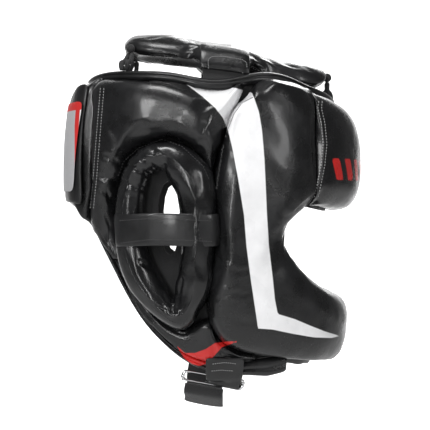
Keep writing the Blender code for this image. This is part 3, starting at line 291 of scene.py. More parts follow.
def own_mesh(node):
    """A working copy of a solid's mesh, welded and back in quads."""
    work = bmesh.new()
    work.from_mesh(nodes[node].data)
    bmesh.ops.remove_doubles(work, verts=work.verts, dist=WELD_DISTANCE)
    bmesh.ops.join_triangles(
        work, faces=work.faces, angle_face_threshold=JOIN_ANGLE,
        angle_shape_threshold=JOIN_SHAPE_ANGLE, cmp_seam=False, cmp_sharp=False,
    )
    for edge in work.edges:
        edge.smooth = True
    return work


def subdivided(work, levels):
    """The smooth surface of a working mesh, as a mesh of its own."""
    mesh = bpy.data.meshes.new("working")
    work.to_mesh(mesh)
    obj = bpy.data.objects.new("working", mesh)
    bpy.context.scene.collection.objects.link(obj)
    smooth = obj.modifiers.new("smooth", "SUBSURF")
    smooth.levels = levels
    smooth.render_levels = levels
    result = bpy.data.meshes.new_from_object(obj.evaluated_get(bpy.context.evaluated_depsgraph_get()))
    bpy.data.objects.remove(obj)
    return result


def fitted(work, rounds):
    """Grows a working mesh until its smooth surface passes near the solid's own points."""
    target = np.array([vert.co for vert in work.verts])
    cage = target.copy()
    for _ in range(rounds):
        smooth = subdivided(work, 1)
        cage += FIT_SHARE * (target - points_of(smooth)[:len(cage)])
        bpy.data.meshes.remove(smooth)
        for vert, point in zip(work.verts, cage):
            vert.co = point
    return work


def points_of(mesh):
    points = np.zeros(len(mesh.vertices) * 3)
    mesh.vertices.foreach_get("co", points)
    return points.reshape(-1, 3)


def normals_of(mesh):
    normals = np.zeros(len(mesh.vertices) * 3)
    mesh.vertices.foreach_get("normal", normals)
    return normals.reshape(-1, 3)


def set_points(mesh, points):
    mesh.vertices.foreach_set("co", np.asarray(points, np.float32).ravel())
    mesh.update()


def show(name, mesh, material, node=None):
    """Links a mesh as a shown piece that rides on the headgear and stands for its solid."""
    obj = bpy.data.objects.new(name, mesh)
    bpy.context.scene.collection.objects.link(obj)
    mesh.materials.clear()
    mesh.materials.append(material)
    mesh.shade_smooth()
    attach(obj, "root")
    if node:
        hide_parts(node)
    return obj


CLOTH_FRAMES = 16
CLOTH = {
    "quality": 4,
    "mass": 0.25,
    "tension_stiffness": 20.0,
    "compression_stiffness": 20.0,
    "shear_stiffness": 8.0,
    "bending_stiffness": 0.35,
    "vertex_group_mass": "back",
    "use_pressure": True,
    "uniform_pressure_force": 4.0,
}
HEAD_CENTRE = np.array((0.0, 0.0, -0.12))
UPWARD_SHARE = 0.3
BACK_FACING = 0.25


def puffed(mesh, loose, limit):
    """Cloth simulation of a pad's cover: its back is held, the rest swells and creases."""
    start = points_of(mesh)
    obj = bpy.data.objects.new("cover", mesh)
    bpy.context.scene.collection.objects.link(obj)
    back = held_back(mesh)
    group = obj.vertex_groups.new(name="back")
    group.add([int(index) for index in np.nonzero(back)[0]], 1.0, "REPLACE")
    cloth = obj.modifiers.new("cover", "CLOTH")
    for key, value in CLOTH.items():
        setattr(cloth.settings, key, value)
    cloth.settings.shrink_min = -loose
    cloth.settings.effector_weights.gravity = 0.0
    cloth.collision_settings.use_collision = False
    cloth.point_cache.frame_start = 1
    cloth.point_cache.frame_end = CLOTH_FRAMES
    scene = bpy.context.scene
    for number in range(1, CLOTH_FRAMES + 1):
        scene.frame_set(number)
    evaluated = obj.evaluated_get(bpy.context.evaluated_depsgraph_get())
    moved = points_of(evaluated.data) - start
    scene.frame_set(1)
    length = np.linalg.norm(moved, axis=1, keepdims=True)
    moved *= np.minimum(1.0, limit / np.maximum(length, 1e-9))
    obj.modifiers.clear()
    obj.vertex_groups.clear()
    bpy.data.objects.remove(obj)
    set_points(mesh, start + moved)


def held_back(mesh):
    """The vertices of a pad's back, whose normals face the head's middle line."""
    points = points_of(mesh)
    normals = normals_of(mesh)
    inward = HEAD_CENTRE - points
    inward[:, 2] *= UPWARD_SHARE
    inward /= np.linalg.norm(inward, axis=1, keepdims=True)
    return (normals * inward).sum(axis=1) > BACK_FACING


# The coloured panels, the seams and the creases are drawn by the photo's pixels
WHITE_PANEL = (
    (186, 84), (215, 86), (235.6, 88), (252, 93), (254.5, 99), (259, 112), (262, 130),
    (264.4, 158), (265.7, 185), (267, 215), (269, 246.5), (272.6, 277), (275, 300), (277.8, 314),
    (294.5, 319), (311, 326), (325, 331.5), (340, 336), (331.5, 338), (314, 337.4), (292, 333.6),
    (272.6, 329.5), (258, 328.5), (256, 314), (251, 281), (246.5, 246.5), (244, 215), (238, 178),
    (233, 151), (228, 130), (223, 118), (215, 107.6), (203, 97),
)
RED_PANEL = (
    (177, 346), (185, 353), (195, 353), (206, 349), (215, 343), (227, 341.5), (240, 341),
    (222, 347), (215, 355), (206, 364), (199, 366), (192, 364), (184, 358),
)


def distance_to_stretch(pixels, start, end):
    """Distance in pixels from one straight stretch of a line."""
    span = end - start
    share = np.clip(((pixels - start) @ span) / (span @ span), 0.0, 1.0)
    gap = pixels - start - share[:, None] * span
    return np.hypot(gap[:, 0], gap[:, 1])


def distance_inside(pixels, outline):
    """Signed distance in pixels from an outline, above zero inside it."""
    outline = np.asarray(outline, float)
    nearest = np.full(len(pixels), 1e9)
    inside = np.zeros(len(pixels), bool)
    for start, end in zip(outline, np.roll(outline, -1, axis=0)):
        span = end - start
        nearest = np.minimum(nearest, distance_to_stretch(pixels, start, end))
        crosses = (start[1] > pixels[:, 1]) != (end[1] > pixels[:, 1])
        rise = span[1] if abs(span[1]) > 1e-9 else 1e-9
        at = start[0] + (pixels[:, 1] - start[1]) / rise * span[0]
        inside ^= crosses & (pixels[:, 0] < at)
    return np.where(inside, nearest, -nearest)


def distance_to_line(pixels, line):
    """Distance in pixels from an open line."""
    line = np.asarray(line, float)
    nearest = np.full(len(pixels), 1e9)
    for start, end in zip(line, line[1:]):
        nearest = np.minimum(nearest, distance_to_stretch(pixels, start, end))
    return nearest


def ramp(values, start, length):
    """Shares that rise from 0 at start to 1 over a length; below zero, the length runs back."""
    return np.clip((values - start) / length, 0.0, 1.0)


def paint(mesh, name, values):
    """Stores a value at each vertex, which a material reads by name."""
    layer = mesh.attributes.new(name, "FLOAT", "POINT")
    layer.data.foreach_set("value", np.asarray(values, np.float32))


def noise_at(points, scale, seed=0.0):
    """Smooth noise at points, from -1 to 1."""
    shift = Vector((seed, 3.1 * seed, 7.7 * seed))
    return np.array([noise.noise(Vector(point) * scale + shift) for point in points])


def along_line(line, pitch):
    """Pixels at an even pitch along an open line."""
    line = np.asarray(line, float)
    lengths = np.hypot(*np.diff(line, axis=0).T)
    at = np.concatenate(((0.0,), np.cumsum(lengths)))
    places = np.arange(0.0, at[-1], pitch)
    return np.stack((np.interp(places, at, line[:, 0]), np.interp(places, at, line[:, 1])), axis=1)


FOREHEAD_SEAM = (
    (320.5, 101), (319.5, 108), (323, 123), (325, 144), (323, 164.5), (319, 185), (315.5, 199),
)

# Creases: each a line of pixels with a depth in millimetres and a half width in pixels
CREASES = {
    "face_shell": (
        (((213, 262), (219, 259), (229, 261)), 0.5, 2.2),
        (((212, 274), (222, 268), (240, 272), (252, 270)), 0.45, 1.8),
        (((213, 287), (221, 283), (232, 286)), 0.5, 2.0),
        (((217, 299), (232, 293), (248, 295)), 0.35, 1.6),
        (((300, 262), (314, 274), (330, 286)), 0.3, 3.0),
        (((226, 318), (246, 322), (262, 321)), 0.3, 2.2),
    ),
    "side_pad": (
        (((106, 156), (114, 160), (124, 170)), 1.1, 2.6),
        (((101, 177), (110, 178), (119, 186)), 0.8, 2.4),
        (((103, 190), (109, 196), (115, 206)), 0.6, 2.2),
        (((132, 127), (152, 131), (172, 128)), 0.4, 3.5),
        (((108, 124), (116, 136), (119, 150)), 0.6, 3.4),
    ),
    "jaw_panel": (
        (((222, 352), (234, 360), (246, 366)), 0.6, 2.0),
        (((150, 326), (160, 336), (172, 346)), 0.6, 2.0),
    ),
    "ear_guard": (
        (((122, 164), (136, 168), (152, 178)), 1.2, 2.0),
        (((132, 152), (146, 160), (158, 172)), 1.1, 2.0),
        (((118, 182), (130, 184), (144, 190)), 0.8, 2.2),
        (((152, 148), (158, 156), (164, 166)), 0.7, 1.8),
        (((140, 262), (148, 266), (158, 268)), 0.6, 2.2),
        (((172, 282), (172, 296), (174, 312)), 1.4, 2.0),
        (((164, 296), (169, 304), (172, 312)), 0.8, 1.6),
        (((182, 280), (179, 294), (178, 308)), 0.9, 1.6),
    ),
}


MILLIMETRE = 0.001
SWELL_SHARE = 0.45
SWELL_PLACE = 2.2


def crease(mesh, kind):
    """Presses creases into a pad, with a swell beside each."""
    if kind not in CREASES:
        return
    points = points_of(mesh)
    normals = normals_of(mesh)
    pixels = to_pixels(points)
    shift = np.zeros(len(points))
    for line, depth, width in CREASES[kind]:
        gap = distance_to_line(pixels, line) / width
        swell = SWELL_SHARE * np.exp(-(gap - SWELL_PLACE) ** 2)
        shift += -MILLIMETRE * depth * (np.exp(-gap ** 2) - swell)
    set_points(mesh, points + normals * shift[:, None])


# The ear guard's front roll is as full as its rear one. FRONT_ROLL is its middle line, each place
# a height and a place across. A ramp's two values are its start and length, here in pixels
FRONT_ROLL = ((150, 186), (180, 194), (230, 195.5), (265, 195.5), (288, 191), (306, 184))
FRONT_ROLL_ACROSS = (166.0, 16.0)
FRONT_ROLL_TOP = (148.0, 22.0)
FRONT_ROLL_END = (312.0, -30.0)
ROLL_GAIN = 0.75
ROLL_SWELL = 0.002
ROLL_OUTSIDE = 0.085
REAR_ROLL_ACROSS = (150.0, -20.0)
REAR_ROLL_TOP = (145.0, 40.0)
REAR_ROLL_END = (290.0, -60.0)
REAR_ROLL_SHIFT = 0.006

# The joint of the cheek and side pads is nearly flush at its top. OUTSIDE is a ramp in metres
FLUSH_SEAM = ((256, 94), (252.7, 97.6), (242, 103), (234, 114), (228, 130), (224, 145))
FLUSH_RISE = 0.0055
FLUSH_REACH = 5.0
FLUSH_PULL = 0.75
OUTSIDE = (0.070, 0.010)
JOINT_TOP = (253.0, 88.0)
JOINT_RISE = 0.003
JOINT_REACH = 9.0
BROW_RISE = 0.0028
BROW_REACH = 4.0
BROW_PULL = 0.4

# The crown pad's front arm hangs down at both sides. The ramps are in metres
ARM_DROOP = 0.007
ARM_HALF_WIDTH = 0.034
ARM_REACH = 0.0035
ARM_AHEAD = (0.020, 0.030)
ARM_TIP = (0.05, 0.05)


def fuller_roll(points):
    """Widens the front roll of an ear guard, and draws its rear roll forwards."""
    pixels = to_pixels(points)
    across = pixels[:, 0]
    down = pixels[:, 1]
    middle = np.interp(down, [row[0] for row in FRONT_ROLL], [row[1] for row in FRONT_ROLL])
    share = ramp(across, *FRONT_ROLL_ACROSS)
    share *= ramp(down, *FRONT_ROLL_TOP) * ramp(down, *FRONT_ROLL_END)
    points[:, 1] -= ROLL_GAIN * share * (across - middle) * METRES_PER_PIXEL
    outside = np.abs(points[:, 0]) > ROLL_OUTSIDE
    points[:, 0] += np.sign(points[:, 0]) * ROLL_SWELL * share * outside
    rear = ramp(across, *REAR_ROLL_ACROSS)
    rear *= ramp(down, *REAR_ROLL_TOP) * ramp(down, *REAR_ROLL_END)
    points[:, 1] -= REAR_ROLL_SHIFT * rear
    return points


def flush_seam(points, line=FLUSH_SEAM, rise=FLUSH_RISE, reach=FLUSH_REACH, pull=FLUSH_PULL):
    """Fills the valley at a joint of two pads, and draws their edges together."""
    pixels = to_pixels(points)
    outline = along_line(line, 1.0)
    gaps = pixels[:, None, :] - outline[None, :, :]
    nearest = np.hypot(gaps[..., 0], gaps[..., 1]).argmin(axis=1)
    towards = outline[nearest] - pixels
    gap = np.hypot(towards[:, 0], towards[:, 1])
    outer = ramp(np.abs(points[:, 0]), *OUTSIDE)
    near = outer * np.exp(-(gap / reach) ** 2)
    points[:, 0] += np.sign(points[:, 0]) * rise * near
    points[:, 1] -= pull * near * towards[:, 0] * METRES_PER_PIXEL
    points[:, 2] -= pull * near * towards[:, 1] * METRES_PER_PIXEL
    top = np.hypot(pixels[:, 0] - JOINT_TOP[0], pixels[:, 1] - JOINT_TOP[1])
    points[:, 2] += JOINT_RISE * outer * np.exp(-(top / JOINT_REACH) ** 2)
    return points


def flush_brow(points):
    """Draws the brow pad and the cheeks together along the double-stitched seam."""
    return flush_seam(points, FOREHEAD_SEAM, BROW_RISE, BROW_REACH, BROW_PULL)


def flush_cheeks(points):
    """Draws the cheeks to the side pads and to the brow pad."""
    return flush_brow(flush_seam(points))


def drooped_arm(points):
    """Lets the sides of the crown pad's front arm hang towards the rim."""
    ahead = ramp(-points[:, 1], *ARM_AHEAD)
    points[:, 1] -= ARM_REACH * ramp(-points[:, 1], *ARM_TIP)
    points[:, 2] -= ARM_DROOP * ahead * ramp(np.abs(points[:, 0]), 0.0, ARM_HALF_WIDTH) ** 2
    return points


MOVES = {
    "ear_guard": fuller_roll,
    "crown_pad": drooped_arm,
    "face_shell": flush_cheeks,
    "forehead_pad": flush_brow,
    "side_pad": flush_seam,
}
BAR_PITCH = 0.0152
BAR_WIDTH = 0.0085
BAR_COUNT = 9
BAR_TOP = -0.0935
BAR_BOTTOM = -0.1120
BAR_MIDDLE = 0.5 * (BAR_TOP + BAR_BOTTOM)
BAR_SLANT = 0.28
BROW_AXIS_DEPTH = 0.02
BROW_FRONT = -0.07


def brow_bars(points):
    """Signed distance in millimetres from a row of plain slanted bars across the brow."""
    ahead = -(points[:, 1] + BROW_AXIS_DEPTH)
    radius = np.hypot(points[:, 0], ahead)
    along = np.arctan2(points[:, 0], ahead) * radius.mean()
    along = along + BAR_SLANT * (points[:, 2] - BAR_MIDDLE)
    place = np.clip(np.round(along / BAR_PITCH), -(BAR_COUNT // 2), BAR_COUNT // 2) * BAR_PITCH
    across = 0.5 * BAR_WIDTH - np.abs(along - place)
    down = 0.5 * (BAR_TOP - BAR_BOTTOM) - np.abs(points[:, 2] - BAR_MIDDLE)
    front = np.where(points[:, 1] < BROW_FRONT, 1.0, -1.0)
    return np.minimum(np.minimum(across, down), front) / MILLIMETRE


PAD_LEVELS = 2
FINE_LEVELS = 1
RIPPLE_SCALE = 38.0
FINE_RIPPLE_SCALE = 85.0
FINE_RIPPLE_SEED = 2.0


def make_pad(node, name, material, loose, limit, ripple=0.0006, rounds=3):
    """Builds a pad's cover from its solid: smooth, simulated, creased, and painted."""
    kind = node.replace("_right", "").replace("_left", "")
    mesh = subdivided(fitted(own_mesh(node), rounds), PAD_LEVELS)
    if kind in MOVES:
        set_points(mesh, MOVES[kind](points_of(mesh)))
    puffed(mesh, loose, limit)
    work = bmesh.new()
    work.from_mesh(mesh)
    mesh = subdivided(work, FINE_LEVELS)
    work.free()
    points = points_of(mesh)
    normals = normals_of(mesh)
    outer = 1.0 - held_back(mesh)
    wave = noise_at(-points if "left" in node else points, RIPPLE_SCALE)
    wave += 0.5 * noise_at(points, FINE_RIPPLE_SCALE, FINE_RIPPLE_SEED)
    set_points(mesh, points + normals * (ripple * wave * outer)[:, None])
    crease(mesh, kind)
    pixels = to_pixels(points_of(mesh))
    if material == "cheek":
        paint(mesh, "white", distance_inside(pixels, WHITE_PANEL))
    if material in ("cheek", "jaw"):
        paint(mesh, "red", distance_inside(pixels, RED_PANEL))
    if material == "brow":
        paint(mesh, "print", brow_bars(points_of(mesh)))
    obj = show(name, mesh, MAT[material], node)
    return obj


# Each cover is loose by a share of its size, and moves no further than a limit in metres
pads = {
    "face_shell": make_pad("face_shell", "face_shell_cover", "cheek", 0.015, 0.002),
    "forehead_pad": make_pad("forehead_pad", "forehead_cover", "brow", 0.01, 0.002),
    "rear_pad": make_pad("rear_pad", "rear_cover", "pad", 0.01, 0.0015),
    "crown_pad": make_pad("crown_pad", "crown_cover", "pad", 0.02, 0.003, ripple=0.0010),
}
for side in ("right", "left"):
    pads["side_pad_" + side] = make_pad(
        "side_pad_" + side, "side_cover_" + side, "cheek", 0.02, 0.0025)
    pads["ear_guard_" + side] = make_pad(
        "ear_guard_" + side, "ear_cover_" + side, "ear", 0.004, 0.003, ripple=0.0003, rounds=1)
    pads["jaw_panel_" + side] = make_pad(
        "jaw_panel_" + side, "jaw_cover_" + side, "jaw", 0.01, 0.0015)


# The bindings, the straps and the small parts. A ramp's two values are its start and length
GROOVE = 0.0013
GROOVE_TILT = 0.35
BINDING_OVERLAP = 0.0016
FRONT_OVERLAP = 0.0022
BINDING_FRONT = (0.03, 0.02)
RIM_BOTTOM = -0.08
LABEL_EDGE = ((82.2, 100.0), (76.0, 192.0))
LABEL_EDGE_WIDTH = 1.7
RED_STRIP_WIDTH = 4.2
RED_STRIP_END = 6.0
RED_STRIP_TAPER = 60.0
RED_BAND_HEIGHT = 0.0075


def grooved(mesh):
    """Presses the groove between a binding's two rolls, and draws its lower edge down."""
    points = points_of(mesh)
    normals = normals_of(mesh)
    outward = points * (1.0, 1.0, 0.0)
    outward /= np.linalg.norm(outward, axis=1, keepdims=True)
    faces_out = np.clip((normals * outward).sum(axis=1), 0.0, 1.0)
    depth = GROOVE * faces_out * np.exp(-(normals[:, 2] / GROOVE_TILT) ** 2)
    points -= normals * depth[:, None]
    overlap = BINDING_OVERLAP + FRONT_OVERLAP * ramp(-points[:, 1], *BINDING_FRONT)
    overlap = np.where(points[:, 2] > RIM_BOTTOM, overlap, 0.0)
    points[:, 2] -= overlap * np.clip(-normals[:, 2], 0.0, 1.0)
    set_points(mesh, points)


def label_bands(mesh):
    """Paints the label's white edging line, its red strip and its red top band."""
    points = points_of(mesh)
    pixels = to_pixels(points)
    (top_edge, top), (low_edge, low) = LABEL_EDGE
    edge = top_edge + (pixels[:, 1] - top) / (low - top) * (low_edge - top_edge)
    right = np.where(points[:, 0] < 0.0, 1.0, -1.0)
    inside = edge - pixels[:, 0]
    white = np.minimum(0.5 * LABEL_EDGE_WIDTH - np.abs(inside - 0.5 * LABEL_EDGE_WIDTH), right)
    width = RED_STRIP_WIDTH * ramp(pixels[:, 1], low - RED_STRIP_END, -RED_STRIP_TAPER)
    strip = np.minimum(0.5 * width - np.abs(inside - LABEL_EDGE_WIDTH - 0.5 * width), right)
    band = (points[:, 2] - points[:, 2].max() + RED_BAND_HEIGHT) / MILLIMETRE
    paint(mesh, "edging", white)
    paint(mesh, "red", np.maximum(strip, band))


STRAP_FRONT = (150.0, 48.0)
STRAP_REAR = (150.0, -46.0)
STRAP_WIDENING = 1.08
STRAP_REACH = 0.0115
STRAP_REAR_SHIFT = 0.009
STRAP_DROP = 0.0032
STRAP_FRONT_DROP = 0.0015
STRAP_TUCK = 0.004
RING_SHARE = 0.62
TAB_DROP = 0.0045
TAB_ROLL = 0.0022
TAB_ROLL_PLACE = 0.85
TAB_ROLL_WIDTH = 0.14
FLAP_SHARE = 0.55
FLAP_FRONT_SHARE = 0.2
FLAP_FRONT = (0.085, 0.02)
FOLD_SCALE = 70.0
FOLD_SEED = 4.0
FOLD_DEPTH = 0.0012
BINDING_END = ((225, 368), (243, 368), (262, 362), (272, 358.5))
BINDING_END_ACROSS = (228.0, 24.0)
BINDING_END_GAIN = 0.9
BINDING_END_REACH = 0.013
FLAP_SAMPLES = 24
FLAP_SAMPLE_REACH = 0.05
LABEL_TURN = (0.12, 0.30)
LABEL_TURN_LOW = 0.015
LABEL_TURN_RISE = 0.085
CORD_SWELL = 0.0007


def longer_strap(mesh):
    """Carries the strap's front end down to the cheek, and sets its height."""
    points = points_of(mesh)
    pixels = to_pixels(points)
    share = ramp(pixels[:, 0], *STRAP_FRONT)
    share = share * share * (3.0 - 2.0 * share)
    middle = 0.5 * (points[:, 2].max() + points[:, 2].min())
    height = middle + STRAP_WIDENING * (points[:, 2] - middle)
    points[:, 2] = height - STRAP_DROP - STRAP_FRONT_DROP * share
    points[:, 1] -= STRAP_REACH * share
    points[:, 0] -= np.sign(points[:, 0]) * STRAP_TUCK * share ** 4
    points[:, 1] -= STRAP_REAR_SHIFT * ramp(pixels[:, 0], *STRAP_REAR)
    set_points(mesh, points)


def shallow_ring(mesh):
    """The ring hangs turned about its long side, so it is seen shallower."""
    points = points_of(mesh)
    slope = np.polyfit(points[:, 1], points[:, 2], 1)
    above = points[:, 2] - np.polyval(slope, points[:, 1])
    points[:, 2] -= (1.0 - RING_SHARE) * (above - above.max())
    set_points(mesh, points)


def longer_tab(mesh):
    """The jaw tab folds round the ring's wire in a thick roll."""
    points = points_of(mesh)
    top = points[:, 2].max()
    low = np.clip((top - points[:, 2]) / (top - points[:, 2].min()), 0.0, 1.0)
    roll = TAB_ROLL * np.exp(-((low - TAB_ROLL_PLACE) / TAB_ROLL_WIDTH) ** 2)
    points[:, 2] -= TAB_DROP * low ** 2
    points[:, 0] += np.sign(points[:, 0]) * roll
    set_points(mesh, points)


def flat_flap(mesh):
    """The chin flap lies shallow under the bar, with soft folds."""
    points = points_of(mesh)
    top = points[:, 2].max()
    share = FLAP_SHARE + FLAP_FRONT_SHARE * ramp(-points[:, 1], *FLAP_FRONT)
    folds = noise_at(points, FOLD_SCALE, FOLD_SEED)
    points[:, 2] = top + share * (points[:, 2] - top) + FOLD_DEPTH * folds
    set_points(mesh, points)


def full_end(mesh):
    """Grooves the lower binding, and fills it out up to the face bar at its front end."""
    grooved(mesh)
    points = points_of(mesh)
    pixels = to_pixels(points)
    middle = np.interp(pixels[:, 0], [row[0] for row in BINDING_END], [row[1] for row in BINDING_END])
    share = ramp(pixels[:, 0], *BINDING_END_ACROSS)
    points[:, 2] -= BINDING_END_GAIN * share * (pixels[:, 1] - middle) * METRES_PER_PIXEL
    points[:, 1] -= BINDING_END_REACH * share ** 2
    set_points(mesh, points)


def wide_label(mesh):
    """Draws the label's edge forwards on the flap, most at its top."""
    points = points_of(mesh)
    flap = points_of(trims["closure_flap"].data)
    flap = flap[flap[:, 0] < 0.0]
    turns = np.arctan2(-flap[:, 0], flap[:, 1])
    order = np.argsort(turns)
    samples = np.linspace(turns.min(), turns.max(), FLAP_SAMPLES)
    radii = np.hypot(flap[:, 0], flap[:, 1])[order]
    reach = np.array([radii[np.abs(turns[order] - at) < FLAP_SAMPLE_REACH].max() for at in samples])
    turn = np.arctan2(-points[:, 0], points[:, 1])
    radius = np.hypot(points[:, 0], points[:, 1])
    low, high = points[:, 2].min(), points[:, 2].max()
    height = (points[:, 2] - low) / (high - low)
    new_turn = turn + (LABEL_TURN_LOW + LABEL_TURN_RISE * height) * ramp(turn, *LABEL_TURN)
    new_radius = radius + np.interp(new_turn, samples, reach) - np.interp(turn, samples, reach)
    moved = turn > LABEL_TURN[0]
    points[moved, 0] = -(np.sin(new_turn) * new_radius)[moved]
    points[moved, 1] = (np.cos(new_turn) * new_radius)[moved]
    set_points(mesh, points)
    label_bands(mesh)


def swollen(mesh):
    """A thicker, softer cord."""
    set_points(mesh, points_of(mesh) + CORD_SWELL * normals_of(mesh))


def make_trim(node, name, material, levels=2, change=None, rounds=3):
    """Builds a small piece from its solid: smooth, changed and painted."""
    mesh = subdivided(fitted(own_mesh(node), rounds), levels)
    if change:
        change(mesh)
    if material == "jaw":
        paint(mesh, "red", distance_inside(to_pixels(points_of(mesh)), RED_PANEL))
    return show(name, mesh, MAT[material], node)


trims = {
    "rim_binding": make_trim("rim_binding", "rim_leather", "plain", 3, grooved),
    "edge_binding": make_trim("edge_binding", "edge_leather", "jaw", 3, full_end),
}
for side in ("right", "left"):
    trims["ear_strap_" + side] = make_trim(
        "ear_strap_" + side, "ear_strap_leather_" + side, "plain", 3, longer_strap, 1)
    trims["crown_tab_" + side] = make_trim(
        "crown_tab_" + side, "crown_tab_leather_" + side, "pad")
    trims["jaw_tab_" + side] = make_trim(
        "jaw_tab_" + side, "jaw_tab_leather_" + side, "plain", 3, longer_tab, 1)
    make_trim("crown_webbing_" + side, "crown_web_" + side, "web")
for end in ("front", "rear_left", "rear_right"):
    make_trim("lace_" + end, "lace_cord_" + end, "lace", 2, swollen)
    make_trim("lace_loop_" + end, "loop_cord_" + end, "lace", 2, swollen)
    make_trim("lace_knot_" + end, "knot_cord_" + end, "lace")
trims["closure_flap"] = make_trim("closure_flap", "closure_leather", "dull")
make_trim("back_label", "label_patch", "label", 4, wide_label, 1)
make_trim("chin_strap", "chin_webbing", "web", 2, None, 1)
make_trim("chin_flap", "chin_leather", "dull", 3, flat_flap, 0)
make_trim("buckle_ring", "ring_wire", "metal", 2, shallow_ring)
nodes["inner_lining"].data.materials.clear()
nodes["inner_lining"].data.materials.append(MAT["lining"])


# The stitches, and the beads that paint the seam's shadow and a fold's highlight, are set on the
# surface that each pixel meets
BEAD_CORNERS = 6
BEAD_PROFILE = ((0.0, 0.35), (0.25, 0.95), (0.5, 1.0), (0.75, 0.95), (1.0, 0.35))
BEAD_SINK = 0.7
BEAD_HEIGHT = 0.0006
LONGEST_STITCH = 3.0


def tree_of(pieces):
    """One search tree for the surfaces of several pieces."""
    points = []
    faces = []
    for piece in pieces:
        first = len(points)
        points += [vert.co.copy() for vert in piece.data.vertices]
        faces += [[first + index for index in face.vertices] for face in piece.data.polygons]
    return BVHTree.FromPolygons(points, faces)


surfaces = tree_of(list(pads.values()) + list(trims.values()))


def landing(pixel, side):
    """Place and normal of the surface under a pixel, or of its mirror place on the left."""
    start, way = pixel_ray(pixel)
    if side == "left":
        start.x = -start.x
        way.x = -way.x
    hit = surfaces.ray_cast(start, way)
    return (hit[0], hit[1]) if hit[0] is not None else None


def add_bead(work, start, end, normal, width):
    """Adds one bead between two places on the surface: thread, or a bead of painted shade or highlight.
    """
    run = end - start
    across = run.cross(normal).normalized()
    rings = []
    for share, size in BEAD_PROFILE:
        middle = start + run * share + normal * (BEAD_HEIGHT * (size - BEAD_SINK))
        ring = []
        for corner in range(BEAD_CORNERS):
            turn = 2.0 * math.pi * corner / BEAD_CORNERS
            beside = across * (0.5 * width * size * math.cos(turn))
            above = normal * (0.5 * BEAD_HEIGHT * size * math.sin(turn))
            ring.append(work.verts.new(middle + (beside + above)))
        rings.append(ring)
    for near, far in zip(rings, rings[1:]):
        for corner in range(BEAD_CORNERS):
            other = (corner + 1) % BEAD_CORNERS
            work.faces.new((near[corner], near[other], far[other], far[corner]))
    work.faces.new(list(reversed(rings[0])))
    work.faces.new(rings[-1])


def stitches_and_painted_lines(name, lines, material, pitch=2.6, fill=0.68, width=0.0008,
           sides=("right", "left"), zigzag=0.0):
    """Rows of beads along pixel lines, on the wearer's right and mirrored on the left: stitches, and
    lines of painted shade and highlight.
    """
    for side in sides:
        work = bmesh.new()
        for line in lines:
            pixels = along_line(line, pitch)
            for index in range(len(pixels) - 1):
                start = pixels[index]
                step = pixels[index + 1] - start
                swing = np.array((-step[1], step[0])) / np.hypot(*step) * zigzag
                swing *= 1.0 if index % 2 else -1.0
                first = landing(start - swing, side)
                last = landing(start + fill * step + swing, side)
                longest = LONGEST_STITCH * pitch * METRES_PER_PIXEL
                if first and last and (first[0] - last[0]).length < longest:
                    add_bead(work, first[0], last[0], first[1], width)
        mesh = bpy.data.meshes.new(name)
        bmesh.ops.recalc_face_normals(work, faces=work.faces)
        work.to_mesh(mesh)
        show(name + "_" + side, mesh, MAT[material])
        work.free()


FOREHEAD_ROWS = tuple(tuple((u + shift, v) for u, v in FOREHEAD_SEAM) for shift in (-1.8, 1.8))
REAR_ROWS = (
    ((100.5, 88), (97, 130), (93.5, 175), (90, 210)),
    ((104, 88), (100.5, 130), (97, 175), (93.5, 210)),
)
WHITE_JOINT = (((253, 97.4), (242, 103), (234, 114), (228, 130)),)
CHEEK_JOINT = (((227.5, 131), (223, 148), (219, 171), (216.5, 190)),)
EAR_ARC = (
    ((118, 176), (124, 161), (138.5, 148), (162, 139), (182, 146.5), (203, 166), (209, 180)),
)
GUARD_END = (((150, 305), (160, 314), (172, 322), (184, 325), (189, 316)),)
STRAP_ROWS = (
    ((120, 220.6), (150, 218.6), (180, 219.4), (214, 221)),
    ((121, 243.2), (150, 239.6), (180, 240), (214, 241.5)),
)
# The crown tab's first row is its stitching; the second row is a painted highlight along the tab's
# lower fold
TAB_STITCH_AND_HIGHLIGHT_ROWS = (
    ((208.5, 68.5), (208, 60), (212, 56.5), (224, 56.5), (242, 59.5), (246.5, 62.5), (247, 68.5)),
    ((210, 72), (220, 74), (234, 74), (245, 72.5)),
)
JAW_TAB_ROWS = (
    ((212.5, 364), (225, 362.4), (238, 364)),
    ((211.5, 371), (222, 370), (234, 371)),
)
BINDING_ROW = (((92, 222), (101.5, 233), (116.5, 262), (129, 290), (144, 317), (164.5, 340)),)

stitches_and_painted_lines("brow_stitches", FOREHEAD_ROWS, "pale_thread_and_highlight", pitch=2.9, width=0.001)
stitches_and_painted_lines("rear_stitches", REAR_ROWS, "pale_thread_and_highlight", pitch=2.9)
# A painted shadow line: one unbroken grey bead along the joint of the white panels
stitches_and_painted_lines("stripe_seam_shadow", WHITE_JOINT, "seam_shadow_cord", pitch=1.6, fill=1.05, width=0.0011)
stitches_and_painted_lines("cheek_stitches", CHEEK_JOINT, "thread", pitch=2.4, zigzag=0.9, width=0.0011)
stitches_and_painted_lines("ear_arc_stitches", EAR_ARC, "thread", pitch=3.0)
stitches_and_painted_lines("guard_end_stitches", GUARD_END, "thread", pitch=3.0)
stitches_and_painted_lines("strap_stitches", STRAP_ROWS, "thread", pitch=2.3)
# Crown tab stitches, with a painted highlight along its lower fold, in pale thread
stitches_and_painted_lines("tab_stitches_and_fold_highlight", TAB_STITCH_AND_HIGHLIGHT_ROWS, "pale_thread_and_highlight", pitch=1.9, width=0.0007)
stitches_and_painted_lines("jaw_tab_stitches", JAW_TAB_ROWS, "pale_thread_and_highlight", pitch=2.2, sides=("right",))
stitches_and_painted_lines("binding_stitches", BINDING_ROW, "thread", pitch=3.0)


